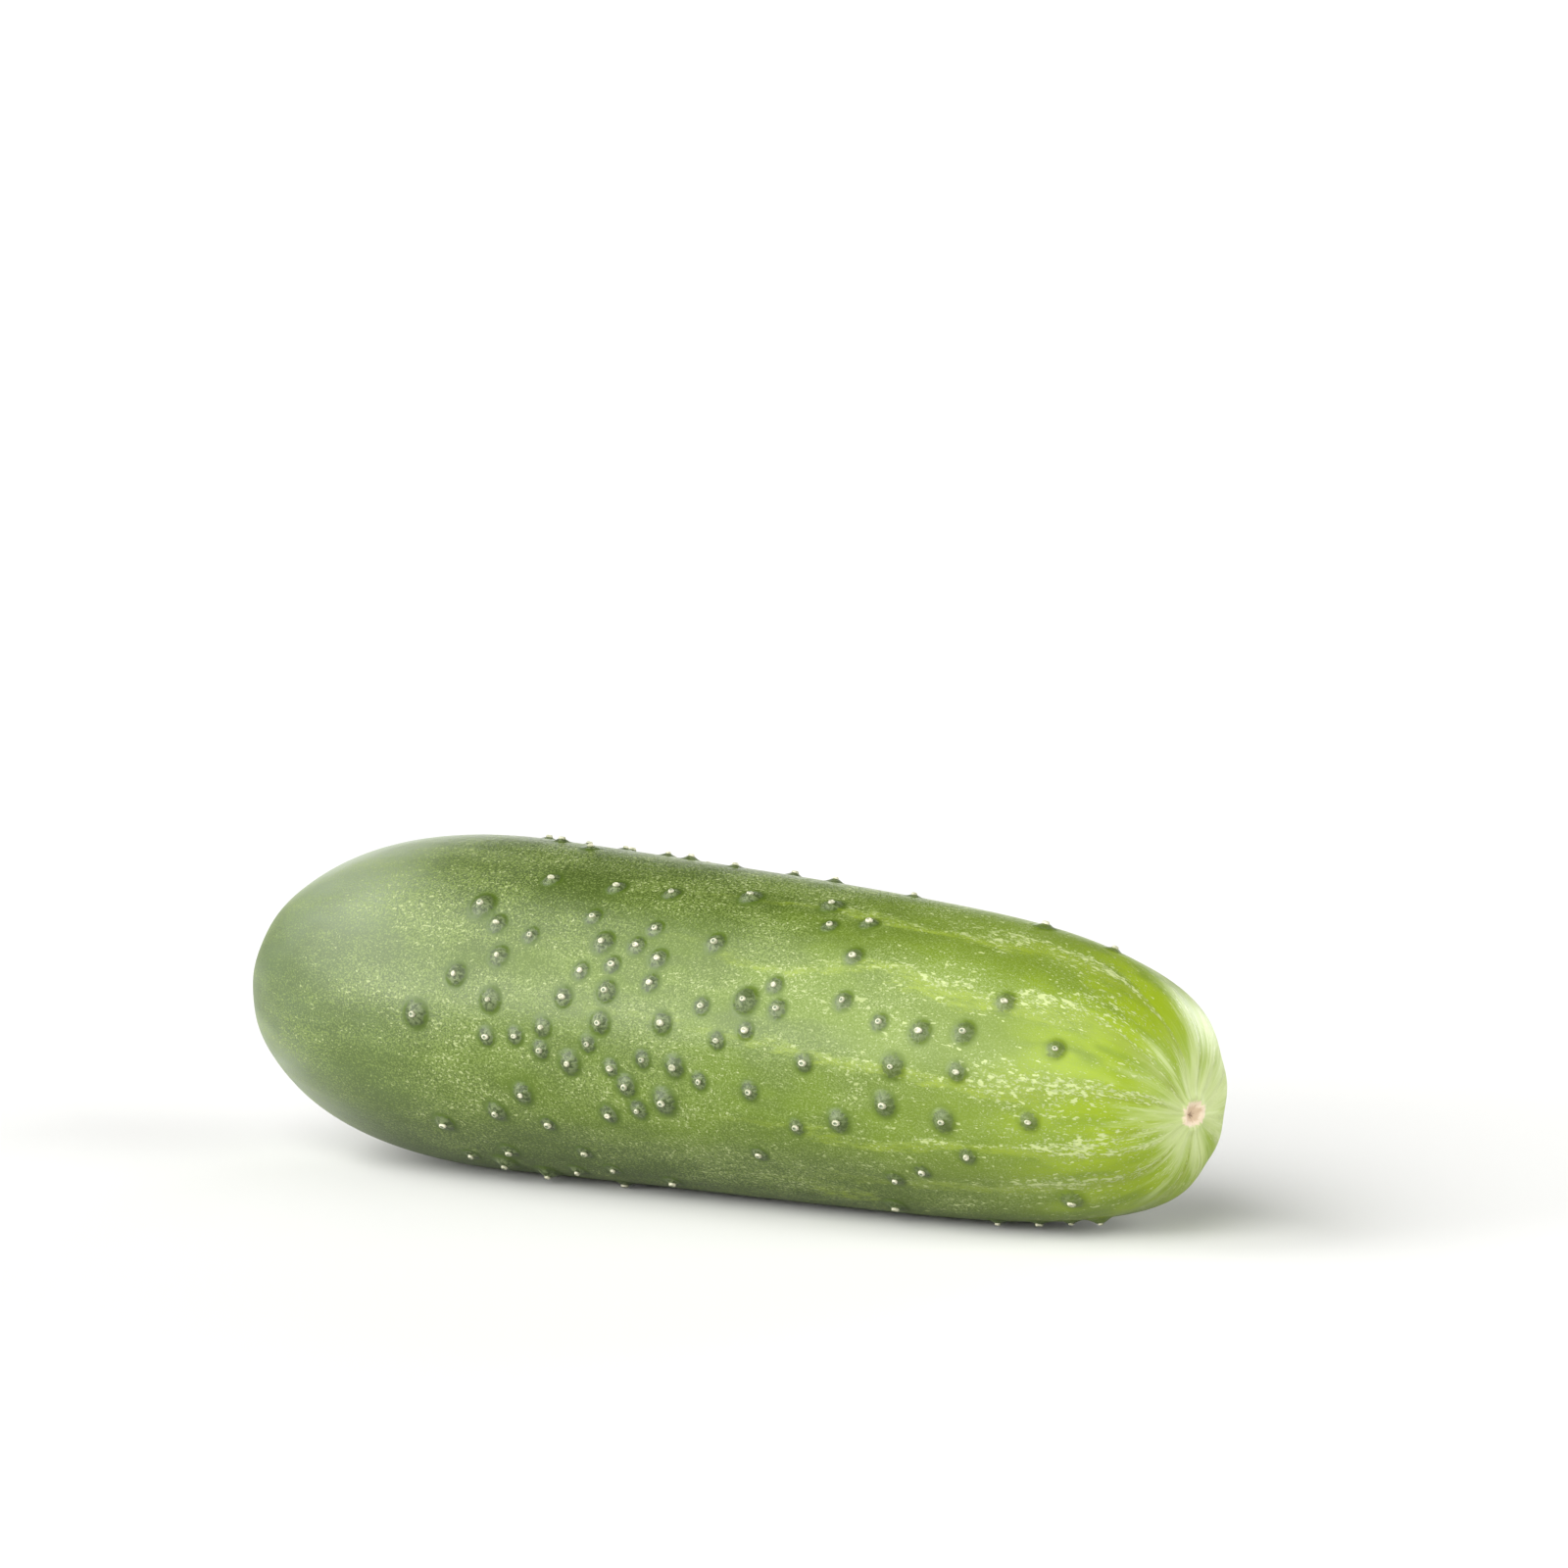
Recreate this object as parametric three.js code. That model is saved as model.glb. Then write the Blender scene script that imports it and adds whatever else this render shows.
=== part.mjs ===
// A short, warty cucumber as picked, lying on its side. It grew as one piece, so it is one closed skin:
// a body that thins towards the flower end, soft lengthwise ribs, warts, and the scars of stem and flower.
// Millimetres, +Z up. +X runs along the fruit to the flower end. Angles go round it from +Y over +Z.
import * as THREE from 'three';
import { ConvexHull } from 'three/addons/math/ConvexHull.js';

// Body
const LENGTH = 140; // stem tip to flower tip, along the axis
const RADIUS = 20; // halfway along, before the waist
const TAPER = 0.091; // share that the radius gains at the stem end and loses at the flower end
const WAIST_DEPTH = 0.038; // share that the radius loses just before the flower end
const WAIST_AT = 0.9; // place of the waist, as a share of the length
const WAIST_SPREAD = 0.18;
const STEM_REACH = 2.1 * RADIUS; // length over which the stem end rounds off
const STEM_ROUNDNESS = 2.22; // 2 is an ellipse, more is blunter
const FLOWER_REACH = 1.93 * RADIUS;
const FLOWER_ROUNDNESS = 2.97;

// Bend of the axis, and the sideways place of the flower scar
const ARCH = 1.07; // upwards
const BOW = -0.72; // sideways
const FLOWER_SIDE = -2.54;
const FLOWER_DROP = 1.26;

// Section
const LOBES = 3;
const LOBE_DEPTH = 0.008; // share of the radius
const LOBE_ANGLE = THREE.MathUtils.degToRad(165); // middle of the lobe that carries most warts in view
const RIBS = 9;
const RIB_HEIGHT = 0.22; // at the flower end
const RIB_HEIGHT_STEM = 0.06; // at the stem end
const RIB_FADE = 0.6; // share of the radius below which lobes and ribs fade out

// Scars
const FLOWER_SCAR = { radius: 1.9, rim: 0.22, pit: 0.4, creases: 10, creaseDepth: 0.16, creaseReach: 4.2 };
const STEM_SCAR = { radius: 3.0, rim: 0.3, pit: 0.9, creases: 7, creaseDepth: 0.12, creaseReach: 5.5 };
const PIT_WIDTH = 0.6; // share of the scar's radius
const RIM_WIDTH = 0.3; // share of the scar's radius
const CREASE_WIDTH = 0.5; // share of the creases' reach

// Warts
const WART_COUNT = 185;
const WART_SEED = 2177;
const WART_TRIES = 60000;
const WART_GAP = 2.9; // least distance between two warts' middles
const WART_TOUCH = 0.85; // least distance as a share of the two radii together
const WART_RADIUS = { small: 1.05, large: 2.1 };
const WART_HEIGHT = { small: 0.5, large: 1.05 };
const WART_CLEARANCE = 0.1; // of a wart's tip above the surface that the fruit lies on
const WART_DENSITY = [ // share of the length, relative number of warts
  [0.23, 0], [0.29, 0.25], [0.34, 0.8], [0.4, 1], [0.54, 1],
  [0.63, 0.6], [0.72, 0.42], [0.92, 0.25], [0.95, 0],
];
const WART_LOBE_SHARE = 0.4; // of the warts' number that follows the lobes
const WART_RINGS = [ // share of the wart's radius, number of points
  [0.42, 5], [1, 8],
];

// Rest
const REST_PITCH = THREE.MathUtils.degToRad(1.7); // flower end down, which puts the flat under the weight
const REST_DEPTH = 0.22; // of the flat strip that the fruit lies on

// Mesh
const TIP_STEP = 0.6; // between the first points at a tip
const STEP_GROWTH = 0.14;
const BODY_STEP = 3.2; // between points elsewhere
const RING_GAP = 0.9; // between two rings of points, in steps
const POINT_GAP = 1.05; // between two points of a ring, in steps
const RING_TURN = 0.618; // of a ring against the one before, in points
const LAST_GAP = 0.3; // least gap between the last rings from the two ends, in steps
const WART_MARGIN = 0.38; // from a wart's edge to the nearest point of the skin, in body steps
const STATIONS = 4000; // for measuring along the skin
const LOW_ROWS = 200; // samples along the fruit for its lowest point
const LOW_COLUMNS = 90; // samples round it
const SLOPE_STEP = 1e-4; // turn over which a slope is measured
const SLOPE_MARGIN = 2e-3; // least turn from a tip

// Repeatable random numbers from 0 to 1
function randomFrom(seed) {
  let state = seed >>> 0;
  return () => {
    state = (state + 0x6d2b79f5) >>> 0;
    let mixed = Math.imul(state ^ (state >>> 15), state | 1);
    mixed ^= mixed + Math.imul(mixed ^ (mixed >>> 7), mixed | 61);
    return ((mixed ^ (mixed >>> 14)) >>> 0) / 4294967296;
  };
}

// Value at x on a line through [x, value] corners
function alongCorners(corners, x) {
  if (x <= corners[0][0]) {
    return corners[0][1];
  }
  for (let i = 1; i < corners.length; i += 1) {
    if (x < corners[i][0]) {
      const share = (x - corners[i - 1][0]) / (corners[i][0] - corners[i - 1][0]);
      return THREE.MathUtils.lerp(corners[i - 1][1], corners[i][1], share);
    }
  }
  return corners[corners.length - 1][1];
}

// 0 at a tip, 1 from the reach inwards
function rounding(distance, reach, roundness) {
  const share = THREE.MathUtils.clamp(1 - distance / reach, 0, 1);
  return (1 - share ** roundness) ** (1 / roundness);
}

// Radius and middle of the section at a distance from the stem tip
function section(distance) {
  const share = distance / LENGTH;
  const waist = WAIST_DEPTH * Math.exp(-(((share - WAIST_AT) / WAIST_SPREAD) ** 2));
  const body = RADIUS * (1 + TAPER * (1 - 2 * share) - waist);
  const flower = rounding(LENGTH - distance, FLOWER_REACH, FLOWER_ROUNDNESS);
  const bend = 1 - (2 * share - 1) ** 2;
  return {
    radius: body * rounding(distance, STEM_REACH, STEM_ROUNDNESS) * flower,
    y: BOW * bend + FLOWER_SIDE * (1 - flower),
    z: ARCH * bend - FLOWER_DROP * (1 - flower),
  };
}

// Lobes and ribs, fading out at both tips
function sectionRelief(distance, angle, radius) {
  const share = distance / LENGTH;
  const fade = Math.min(1, radius / (RIB_FADE * RADIUS));
  const lobe = LOBE_DEPTH * radius * Math.cos(LOBES * (angle - LOBE_ANGLE));
  const ribHeight = THREE.MathUtils.lerp(RIB_HEIGHT_STEM, RIB_HEIGHT, share);
  return fade * (lobe + ribHeight * Math.cos(RIBS * (angle - LOBE_ANGLE)));
}

// Distance from the stem tip for a turn from 0 at the stem tip to PI at the flower tip
function distanceAt(turn) {
  return LENGTH * (1 - Math.cos(turn)) / 2;
}

function pointAt(turn, angle) {
  const distance = distanceAt(turn);
  const { radius, y, z } = section(distance);
  const reach = radius + sectionRelief(distance, angle, radius);
  return new THREE.Vector3(distance - LENGTH / 2, y + reach * Math.cos(angle), z + reach * Math.sin(angle));
}

function normalAt(turn, angle) {
  const inside = THREE.MathUtils.clamp(turn, SLOPE_MARGIN, Math.PI - SLOPE_MARGIN);
  const along = pointAt(inside + SLOPE_STEP, angle).sub(pointAt(inside - SLOPE_STEP, angle));
  const round = pointAt(inside, angle + SLOPE_STEP).sub(pointAt(inside, angle - SLOPE_STEP));
  return round.cross(along).normalize();
}

// Length of skin from the stem tip, and the stretch that turns the skin into a ball without shearing it
function measureSkin() {
  const path = [0];
  const stretch = [0];
  let last = section(0);
  let lastDistance = 0;
  for (let i = 1; i <= STATIONS; i += 1) {
    const distance = distanceAt(Math.PI * i / STATIONS);
    const now = section(distance);
    const step = Math.hypot(distance - lastDistance, now.radius - last.radius);
    const mean = Math.max((now.radius + last.radius) / 2, step / 2);
    path.push(path[i - 1] + step);
    stretch.push(stretch[i - 1] + step / mean);
    last = now;
    lastDistance = distance;
  }
  const middle = stretch[STATIONS / 2];
  return { path, stretch: stretch.map((value) => value - middle), whole: path[STATIONS] };
}

const skin = measureSkin();

// Turn at a length of skin from the stem tip
function turnAtPath(length) {
  let low = 0;
  let high = STATIONS;
  while (high - low > 1) {
    const half = (low + high) >> 1;
    if (skin.path[half] > length) {
      high = half;
    } else {
      low = half;
    }
  }
  const share = (length - skin.path[low]) / (skin.path[high] - skin.path[low]);
  return Math.PI * (low + share) / STATIONS;
}

function readAt(list, turn) {
  const place = THREE.MathUtils.clamp(turn / Math.PI * STATIONS, 0, STATIONS);
  const low = Math.min(Math.floor(place), STATIONS - 1);
  return THREE.MathUtils.lerp(list[low], list[low + 1], place - low);
}

// Height of a scar's pit, rim and creases at a length of skin from its tip
function scarRelief(scar, length, angle) {
  const pit = scar.pit * Math.exp(-((length / (PIT_WIDTH * scar.radius)) ** 2));
  const rim = scar.rim * Math.exp(-(((length - scar.radius) / (RIM_WIDTH * scar.radius)) ** 2));
  const reach = Math.exp(-(((length - scar.creaseReach) / (CREASE_WIDTH * scar.creaseReach)) ** 2));
  return rim - pit - scar.creaseDepth * reach * (0.5 + 0.5 * Math.cos(scar.creases * angle));
}

// Height of the warts at a place on the smooth skin
function wartRelief(warts, place) {
  return warts.reduce((highest, wart) => {
    const share = Math.min(1, wart.middle.distanceTo(place) / wart.radius);
    return Math.max(highest, wart.height * (0.5 + 0.5 * Math.cos(Math.PI * share)));
  }, 0);
}

// Places of the warts: thick on the stem side of the middle and on the three lobes, none at the tips
function placeWarts() {
  const random = randomFrom(WART_SEED);
  const warts = [];
  const lowest = lowestPoint();
  for (let i = 0; i < WART_TRIES && warts.length < WART_COUNT; i += 1) {
    const share = random();
    const angle = 2 * Math.PI * random();
    const chance = random();
    const size = random() ** 2;
    const lobe = 1 - WART_LOBE_SHARE + WART_LOBE_SHARE * Math.cos(LOBES * (angle - LOBE_ANGLE));
    if (chance > alongCorners(WART_DENSITY, share) * lobe) {
      continue;
    }
    const turn = Math.acos(1 - 2 * share);
    const middle = pointAt(turn, angle);
    const height = THREE.MathUtils.lerp(WART_HEIGHT.small, WART_HEIGHT.large, size);
    const tip = middle.clone().addScaledVector(normalAt(turn, angle), height);
    if (laid(tip).z - lowest < REST_DEPTH + WART_CLEARANCE) {
      continue;
    }
    const radius = THREE.MathUtils.lerp(WART_RADIUS.small, WART_RADIUS.large, size);
    const isFree = (wart) => {
      const gap = Math.max(WART_GAP, WART_TOUCH * (wart.radius + radius));
      return wart.middle.distanceTo(middle) > gap;
    };
    if (warts.every(isFree)) {
      warts.push({ turn, angle, middle, radius, height });
    }
  }
  return warts;
}

// A point turned to the fruit's resting pitch
function laid(point) {
  return point.clone().applyAxisAngle(new THREE.Vector3(0, 1, 0), REST_PITCH);
}

function lowestPoint() {
  let lowest = Infinity;
  for (let i = 1; i < LOW_ROWS; i += 1) {
    for (let j = 0; j < LOW_COLUMNS; j += 1) {
      const place = pointAt(Math.PI * i / LOW_ROWS, 2 * Math.PI * j / LOW_COLUMNS);
      lowest = Math.min(lowest, laid(place).z);
    }
  }
  return lowest;
}

// Points of one wart: its tip, then rings round it. A ring is laid out flat and wrapped on to the skin
function wartPoints(wart) {
  const { radius } = section(distanceAt(wart.turn));
  const path = readAt(skin.path, wart.turn);
  const points = [{ turn: wart.turn, angle: wart.angle }];
  WART_RINGS.forEach(([share, count], ring) => {
    for (let i = 0; i < count; i += 1) {
      const way = 2 * Math.PI * (i + 0.5 * ring) / count + wart.angle;
      points.push({
        turn: turnAtPath(path + share * wart.radius * Math.cos(way)),
        angle: wart.angle + share * wart.radius * Math.sin(way) / radius,
      });
    }
  });
  return points;
}

// Points of the skin between the warts, in rings that are close at the tips
function skinPoints(warts) {
  const points = [];
  const half = skin.whole / 2;
  [0, 1].forEach((end) => {
    let length = 0;
    let step = TIP_STEP;
    let ring = 0;
    while (length < half - LAST_GAP * step) {
      const path = end === 0 ? length : skin.whole - length;
      const turn = turnAtPath(path);
      const { radius } = section(distanceAt(turn));
      const count = Math.max(1, Math.round(2 * Math.PI * radius / (POINT_GAP * step)));
      for (let i = 0; i < count; i += 1) {
        points.push({ turn, angle: 2 * Math.PI * (i + RING_TURN * ring) / count });
      }
      length += RING_GAP * step;
      step = Math.min(BODY_STEP, TIP_STEP + STEP_GROWTH * length);
      ring += 1;
    }
  });
  return points.filter((point) => {
    const place = pointAt(point.turn, point.angle);
    return warts.every((wart) => wart.middle.distanceTo(place) > wart.radius + WART_MARGIN * BODY_STEP);
  });
}

// Place of a point on a ball, where near neighbours keep their shape
function onBall(point) {
  const height = 2 * Math.atan(Math.exp(readAt(skin.stretch, point.turn))) - Math.PI / 2;
  return new THREE.Vector3(
    Math.sin(height),
    Math.cos(height) * Math.cos(point.angle),
    Math.cos(height) * Math.sin(point.angle),
  );
}

// Final place of a point, with its relief, on the resting fruit
function onFruit(point, warts, lowest) {
  const path = readAt(skin.path, point.turn);
  const smooth = pointAt(point.turn, point.angle);
  const relief = wartRelief(warts, smooth)
    + scarRelief(STEM_SCAR, path, point.angle)
    + scarRelief(FLOWER_SCAR, skin.whole - path, point.angle);
  const place = laid(smooth.addScaledVector(normalAt(point.turn, point.angle), relief));
  place.z = Math.max(0, place.z - lowest - REST_DEPTH);
  return place;
}

function buildFruit() {
  const warts = placeWarts();
  const points = [...warts.flatMap(wartPoints), ...skinPoints(warts)];
  const ball = points.map(onBall);
  const order = new Map(ball.map((place, i) => [place, i]));
  const hull = new ConvexHull().setFromPoints(ball);
  const index = [];
  hull.faces.forEach((face) => {
    const corners = [face.edge.tail(), face.edge.head(), face.edge.next.head()];
    index.push(...corners.map((corner) => order.get(corner.point)));
  });
  const lowest = lowestPoint();
  const places = points.map((point) => onFruit(point, warts, lowest));
  const geometry = new THREE.BufferGeometry().setFromPoints(places);
  geometry.setIndex(index);
  geometry.computeVertexNormals();
  geometry.computeBoundingBox();
  const middle = geometry.boundingBox.getCenter(new THREE.Vector3());
  geometry.translate(-middle.x, -middle.y, 0);
  return geometry;
}

const skinMaterial = new THREE.MeshStandardMaterial({ color: 0x7a9a3c, roughness: 0.4, metalness: 0 });
const fruit = new THREE.Mesh(buildFruit(), skinMaterial);
fruit.name = 'cucumber';

const group = new THREE.Group();
group.add(fruit);

export default group;
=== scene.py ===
"""A short warty cucumber on a plain pale sweep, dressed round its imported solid.

The fruit is rolled from a line of stations by one Geometry Nodes tree, with its ribs, warts and scars raised
from the skin by the same rule as the solid's. A second tree sets the pale base of a spine on each wart.
Sizes are real ones, in millimetres where a name says mm and in metres elsewhere.
"""

import logging
import math
from collections.abc import Callable, Sequence
from dataclasses import dataclass, field
from enum import Enum

import bpy
from mathutils import Matrix, Vector


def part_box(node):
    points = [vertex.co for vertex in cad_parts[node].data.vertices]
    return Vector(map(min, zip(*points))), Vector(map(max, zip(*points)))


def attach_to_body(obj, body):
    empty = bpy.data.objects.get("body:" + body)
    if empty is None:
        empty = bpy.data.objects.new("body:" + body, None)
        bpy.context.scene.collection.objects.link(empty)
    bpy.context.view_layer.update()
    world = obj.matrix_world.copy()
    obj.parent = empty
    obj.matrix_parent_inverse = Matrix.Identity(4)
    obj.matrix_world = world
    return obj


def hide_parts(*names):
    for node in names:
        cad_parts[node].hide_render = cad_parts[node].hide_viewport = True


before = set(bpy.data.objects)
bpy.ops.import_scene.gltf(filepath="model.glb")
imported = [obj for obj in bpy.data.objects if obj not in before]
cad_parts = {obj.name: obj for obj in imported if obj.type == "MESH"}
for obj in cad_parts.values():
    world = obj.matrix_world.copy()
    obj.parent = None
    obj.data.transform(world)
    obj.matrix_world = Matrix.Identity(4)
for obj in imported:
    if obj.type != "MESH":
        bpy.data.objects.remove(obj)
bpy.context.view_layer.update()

log = logging.getLogger("cucumber")

MM = 0.001
WELD = 1e-6
BODY = "root"
NODE = "cucumber"

Point = tuple[float, float, float]
Socket = bpy.types.NodeSocket
Source = Socket | bpy.types.Node
Tree = bpy.types.NodeTree

MATH = "ShaderNodeMath"
VECTOR = "ShaderNodeVectorMath"


class Lane(Enum):
    """Attributes that the fruit's meshes carry for their finishes."""

    ROLLED = "rolled"
    NEAR = "wart_near"
    RELIEF = "relief"
    RIM = "rim"
    AGE = "age"


def linear(hex_colour: str) -> tuple[float, float, float, float]:
    """Turns an sRGB hex colour to linear light.

    Args:
        hex_colour: Six hex digits after a hash.

    Returns:
        Linear red, green and blue with an alpha of 1.
    """
    parts = [int(hex_colour[i:i + 2], 16) / 255 for i in (1, 3, 5)]
    red, green, blue = [p / 12.92 if p <= 0.04045 else ((p + 0.055) / 1.055) ** 2.4 for p in parts]
    return (red, green, blue, 1.0)


def add(tree: Tree, kind: str, inputs: dict | None = None, **settings: object) -> bpy.types.Node:
    """Adds a node with its settings, and sets or links its inputs.

    Args:
        tree: The node tree that takes the node.
        kind: The node's type.
        inputs: Value, socket or node for each input, by the input's name or number.
        settings: The node's own properties, set before the inputs.

    Returns:
        The new node.
    """
    node = tree.nodes.new(kind)
    for name, value in settings.items():
        setattr(node, name, value)
    for key, value in (inputs or {}).items():
        if isinstance(key, int):
            socket = node.inputs[key]
        else:
            socket = next(s for s in node.inputs if s.name == key and s.enabled)
        if isinstance(value, bpy.types.Node):
            value = next(s for s in value.outputs if s.enabled)
        if isinstance(value, Socket):
            tree.links.new(value, socket)
        else:
            socket.default_value = value
    return node


@dataclass(frozen=True)
class Ramp:
    """A change from the least value to the most between two places, soft at both of them or straight."""

    start: float
    end: float
    most: float = 1.0
    least: float = 0.0
    soft: bool = True


@dataclass(frozen=True)
class Cloud:
    """A cloudy pattern on the skin: its size along the fruit and across it in mm, and its finer octaves.

    It gives values from 0 to 1, or with a swing values up to that far below and above 0.
    """

    along: float
    across: float
    detail: float = 2.0
    rough: float = 0.5
    swing: float = 0.0


def graded(tree: Tree, value: Source, ramp: Ramp) -> Socket:
    """Grades a value by a ramp.

    Args:
        tree: The material's tree.
        value: The value that is read.
        ramp: The ramp.

    Returns:
        The graded value.
    """
    ends = {"From Min": ramp.start, "From Max": ramp.end, "To Min": ramp.least, "To Max": ramp.most}
    kind = "SMOOTHSTEP" if ramp.soft else "LINEAR"
    return add(tree, "ShaderNodeMapRange", {"Value": value, **ends}, interpolation_type=kind).outputs[0]


def pattern(tree: Tree, place: Source, cloud: Cloud) -> Socket:
    """Makes a cloudy pattern that follows the skin.

    Args:
        tree: The material's tree.
        place: The place on the unrolled skin, in mm.
        cloud: The pattern.

    Returns:
        The pattern's value.
    """
    scale = (1 / cloud.along, 1 / cloud.across, 1 / cloud.across)
    scaled = add(tree, "ShaderNodeMapping", {"Vector": place, "Scale": scale})
    octaves = {"Scale": 1.0, "Detail": cloud.detail, "Roughness": cloud.rough}
    noise = add(tree, "ShaderNodeTexNoise", {"Vector": scaled, **octaves}).outputs[0]
    if cloud.swing:
        return graded(tree, noise, Ramp(0.0, 1.0, cloud.swing, -cloud.swing, soft=False))
    return noise


def painted(tree: Tree, under: Socket, layers: Sequence[tuple[str, Sequence[Source]]]) -> Socket:
    """Lays colours one over another, each where all of its masks show.

    Args:
        tree: The material's tree.
        under: The colour below.
        layers: Each layer's hex colour with its masks, the lowest first.

    Returns:
        The colour with all layers.
    """
    for colour, masks in layers:
        share = masks[0]
        for mask in masks[1:]:
            share = add(tree, MATH, {0: share, 1: mask}, operation="MULTIPLY")
        mix = add(tree, "ShaderNodeMix", {0: share, 6: under, 7: linear(colour)}, data_type="RGBA")
        under = mix.outputs[2]
    return under


def blank_material(name: str) -> tuple[bpy.types.Material, Tree, bpy.types.Node]:
    """Starts a material.

    Args:
        name: The material's name.

    Returns:
        The material, its tree and its shader.
    """
    material = bpy.data.materials.new(name)
    material.use_nodes = True
    return material, material.node_tree, material.node_tree.nodes["Principled BSDF"]


def random_from(seed: int) -> Callable[[], float]:
    """Makes a repeatable source of random numbers.

    Args:
        seed: Any whole number.

    Returns:
        A function that gives the next number from 0 to 1.
    """
    word = 0xFFFFFFFF
    state = seed & word

    def draw() -> float:
        """Gives the next number.

        Returns:
            A number from 0 to 1.
        """
        nonlocal state
        state = (state + 0x6D2B79F5) & word
        mixed = ((state ^ (state >> 15)) * (state | 1)) & word
        mixed ^= (mixed + (((mixed ^ (mixed >> 7)) * (mixed | 61)) & word)) & word
        return ((mixed ^ (mixed >> 14)) & word) / (word + 1)

    return draw


def along_corners(corners: tuple[tuple[float, float], ...], x: float) -> float:
    """Reads a bent line at a place.

    Args:
        corners: The line's corners as (place, value), in order.
        x: The place.

    Returns:
        The value there, level before the first corner and after the last.
    """
    if x <= corners[0][0]:
        return corners[0][1]
    for (x0, y0), (x1, y1) in zip(corners, corners[1:]):
        if x < x1:
            return y0 + (y1 - y0) * (x - x0) / (x1 - x0)
    return corners[-1][1]


@dataclass(frozen=True)
class Scar:
    """A round scar at a tip, with its rim and the creases that run in to it.

    Sizes are in mm, widths in shares of the radius, and the creases' width in shares of their reach.
    """

    radius: float
    rim: float
    pit: float
    creases: int
    crease_depth: float
    crease_reach: float
    pit_width: float = 0.6
    rim_width: float = 0.3
    crease_width: float = 0.5


@dataclass(frozen=True)
class Wart:
    """One wart of the skin, with its middle on the smooth skin. Sizes in mm."""

    middle: Vector
    outward: Vector
    radius: float
    height: float


@dataclass(frozen=True)
class Shape:
    """The fruit's smooth skin as a formula: +X runs to the flower end, angles go round it from +Y over +Z.

    Lengths are in mm.
    """

    length: float = 140
    radius: float = 20
    taper: float = 0.091
    waist_depth: float = 0.038
    waist_at: float = 0.9
    waist_spread: float = 0.18
    stem_reach: float = 2.1 * 20
    stem_roundness: float = 2.22
    flower_reach: float = 1.93 * 20
    flower_roundness: float = 2.97
    arch: float = 1.07
    bow: float = -0.72
    flower_side: float = -2.54
    flower_drop: float = 1.26
    lobes: int = 3
    lobe_depth: float = 0.008
    lobe_angle: float = math.radians(165)
    ribs: int = 9
    rib_height: float = 0.22
    rib_height_stem: float = 0.06
    rib_fade: float = 0.6
    rest_pitch: float = math.radians(1.7)
    rest_depth: float = 0.22
    flower_scar: Scar = Scar(1.9, 0.22, 0.4, 10, 0.16, 4.2)
    stem_scar: Scar = Scar(3.0, 0.3, 0.9, 7, 0.12, 5.5)

    def rounding(self, distance: float, reach: float, roundness: float) -> float:
        """Gives the share of the body's radius near a tip.

        Args:
            distance: Distance from the tip along the axis.
            reach: Distance over which the end rounds off.
            roundness: 2 for an ellipse, more for a blunter end.

        Returns:
            0 at the tip, 1 from the reach inwards.
        """
        share = min(max(1 - distance / reach, 0.0), 1.0)
        return (1 - share ** roundness) ** (1 / roundness)

    def section(self, distance: float) -> Point:
        """Gives the section at a distance from the stem tip.

        Args:
            distance: Distance along the axis.

        Returns:
            The radius, and the middle's place along Y and Z.
        """
        share = distance / self.length
        waist = self.waist_depth * math.exp(-(((share - self.waist_at) / self.waist_spread) ** 2))
        body = self.radius * (1 + self.taper * (1 - 2 * share) - waist)
        flower = self.rounding(self.length - distance, self.flower_reach, self.flower_roundness)
        bend = 1 - (2 * share - 1) ** 2
        radius = body * self.rounding(distance, self.stem_reach, self.stem_roundness) * flower
        middle_y = self.bow * bend + self.flower_side * (1 - flower)
        middle_z = self.arch * bend - self.flower_drop * (1 - flower)
        return radius, middle_y, middle_z

    def distance_at(self, turn: float) -> float:
        """Distance from the stem tip, for a turn from 0 at the stem tip to pi at the flower tip."""
        return self.length * (1 - math.cos(turn)) / 2

    def point(self, turn: float, angle: float) -> Vector:
        """Gives a point of the smooth skin.

        Args:
            turn: Place along the fruit, from 0 to pi.
            angle: Place round the fruit.

        Returns:
            The point, before the fruit is laid down.
        """
        distance = self.distance_at(turn)
        radius, middle_y, middle_z = self.section(distance)
        share = distance / self.length
        rib = self.rib_height_stem + (self.rib_height - self.rib_height_stem) * share
        relief = self.lobe_depth * radius * math.cos(self.lobes * (angle - self.lobe_angle))
        relief += rib * math.cos(self.ribs * (angle - self.lobe_angle))
        reach = radius + relief * min(1.0, radius / (self.rib_fade * self.radius))
        across = middle_y + reach * math.cos(angle)
        up = middle_z + reach * math.sin(angle)
        return Vector((distance - self.length / 2, across, up))

    def outward(self, turn: float, angle: float) -> Vector:
        """Gives the direction straight out of the smooth skin.

        Args:
            turn: Place along the fruit, from 0 to pi.
            angle: Place round the fruit.

        Returns:
            A vector of length 1.
        """
        step = 1e-4
        inside = min(max(turn, 20 * step), math.pi - 20 * step)
        along = self.point(inside + step, angle) - self.point(inside - step, angle)
        round_it = self.point(inside, angle + step) - self.point(inside, angle - step)
        return round_it.cross(along).normalized()

    def laid(self, point: Vector) -> Vector:
        """A point turned to the fruit's resting pitch."""
        return Matrix.Rotation(self.rest_pitch, 3, "Y") @ point

    def lowest(self) -> float:
        """Finds the lowest point of the smooth skin once it is laid down.

        Returns:
            Its height in mm, before the fruit is lowered on its flat strip.
        """
        rows, columns = 200, 90
        heights = [
            self.laid(self.point(math.pi * i / rows, 2 * math.pi * j / columns)).z
            for i in range(1, rows)
            for j in range(columns)
        ]
        return min(heights)


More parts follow.
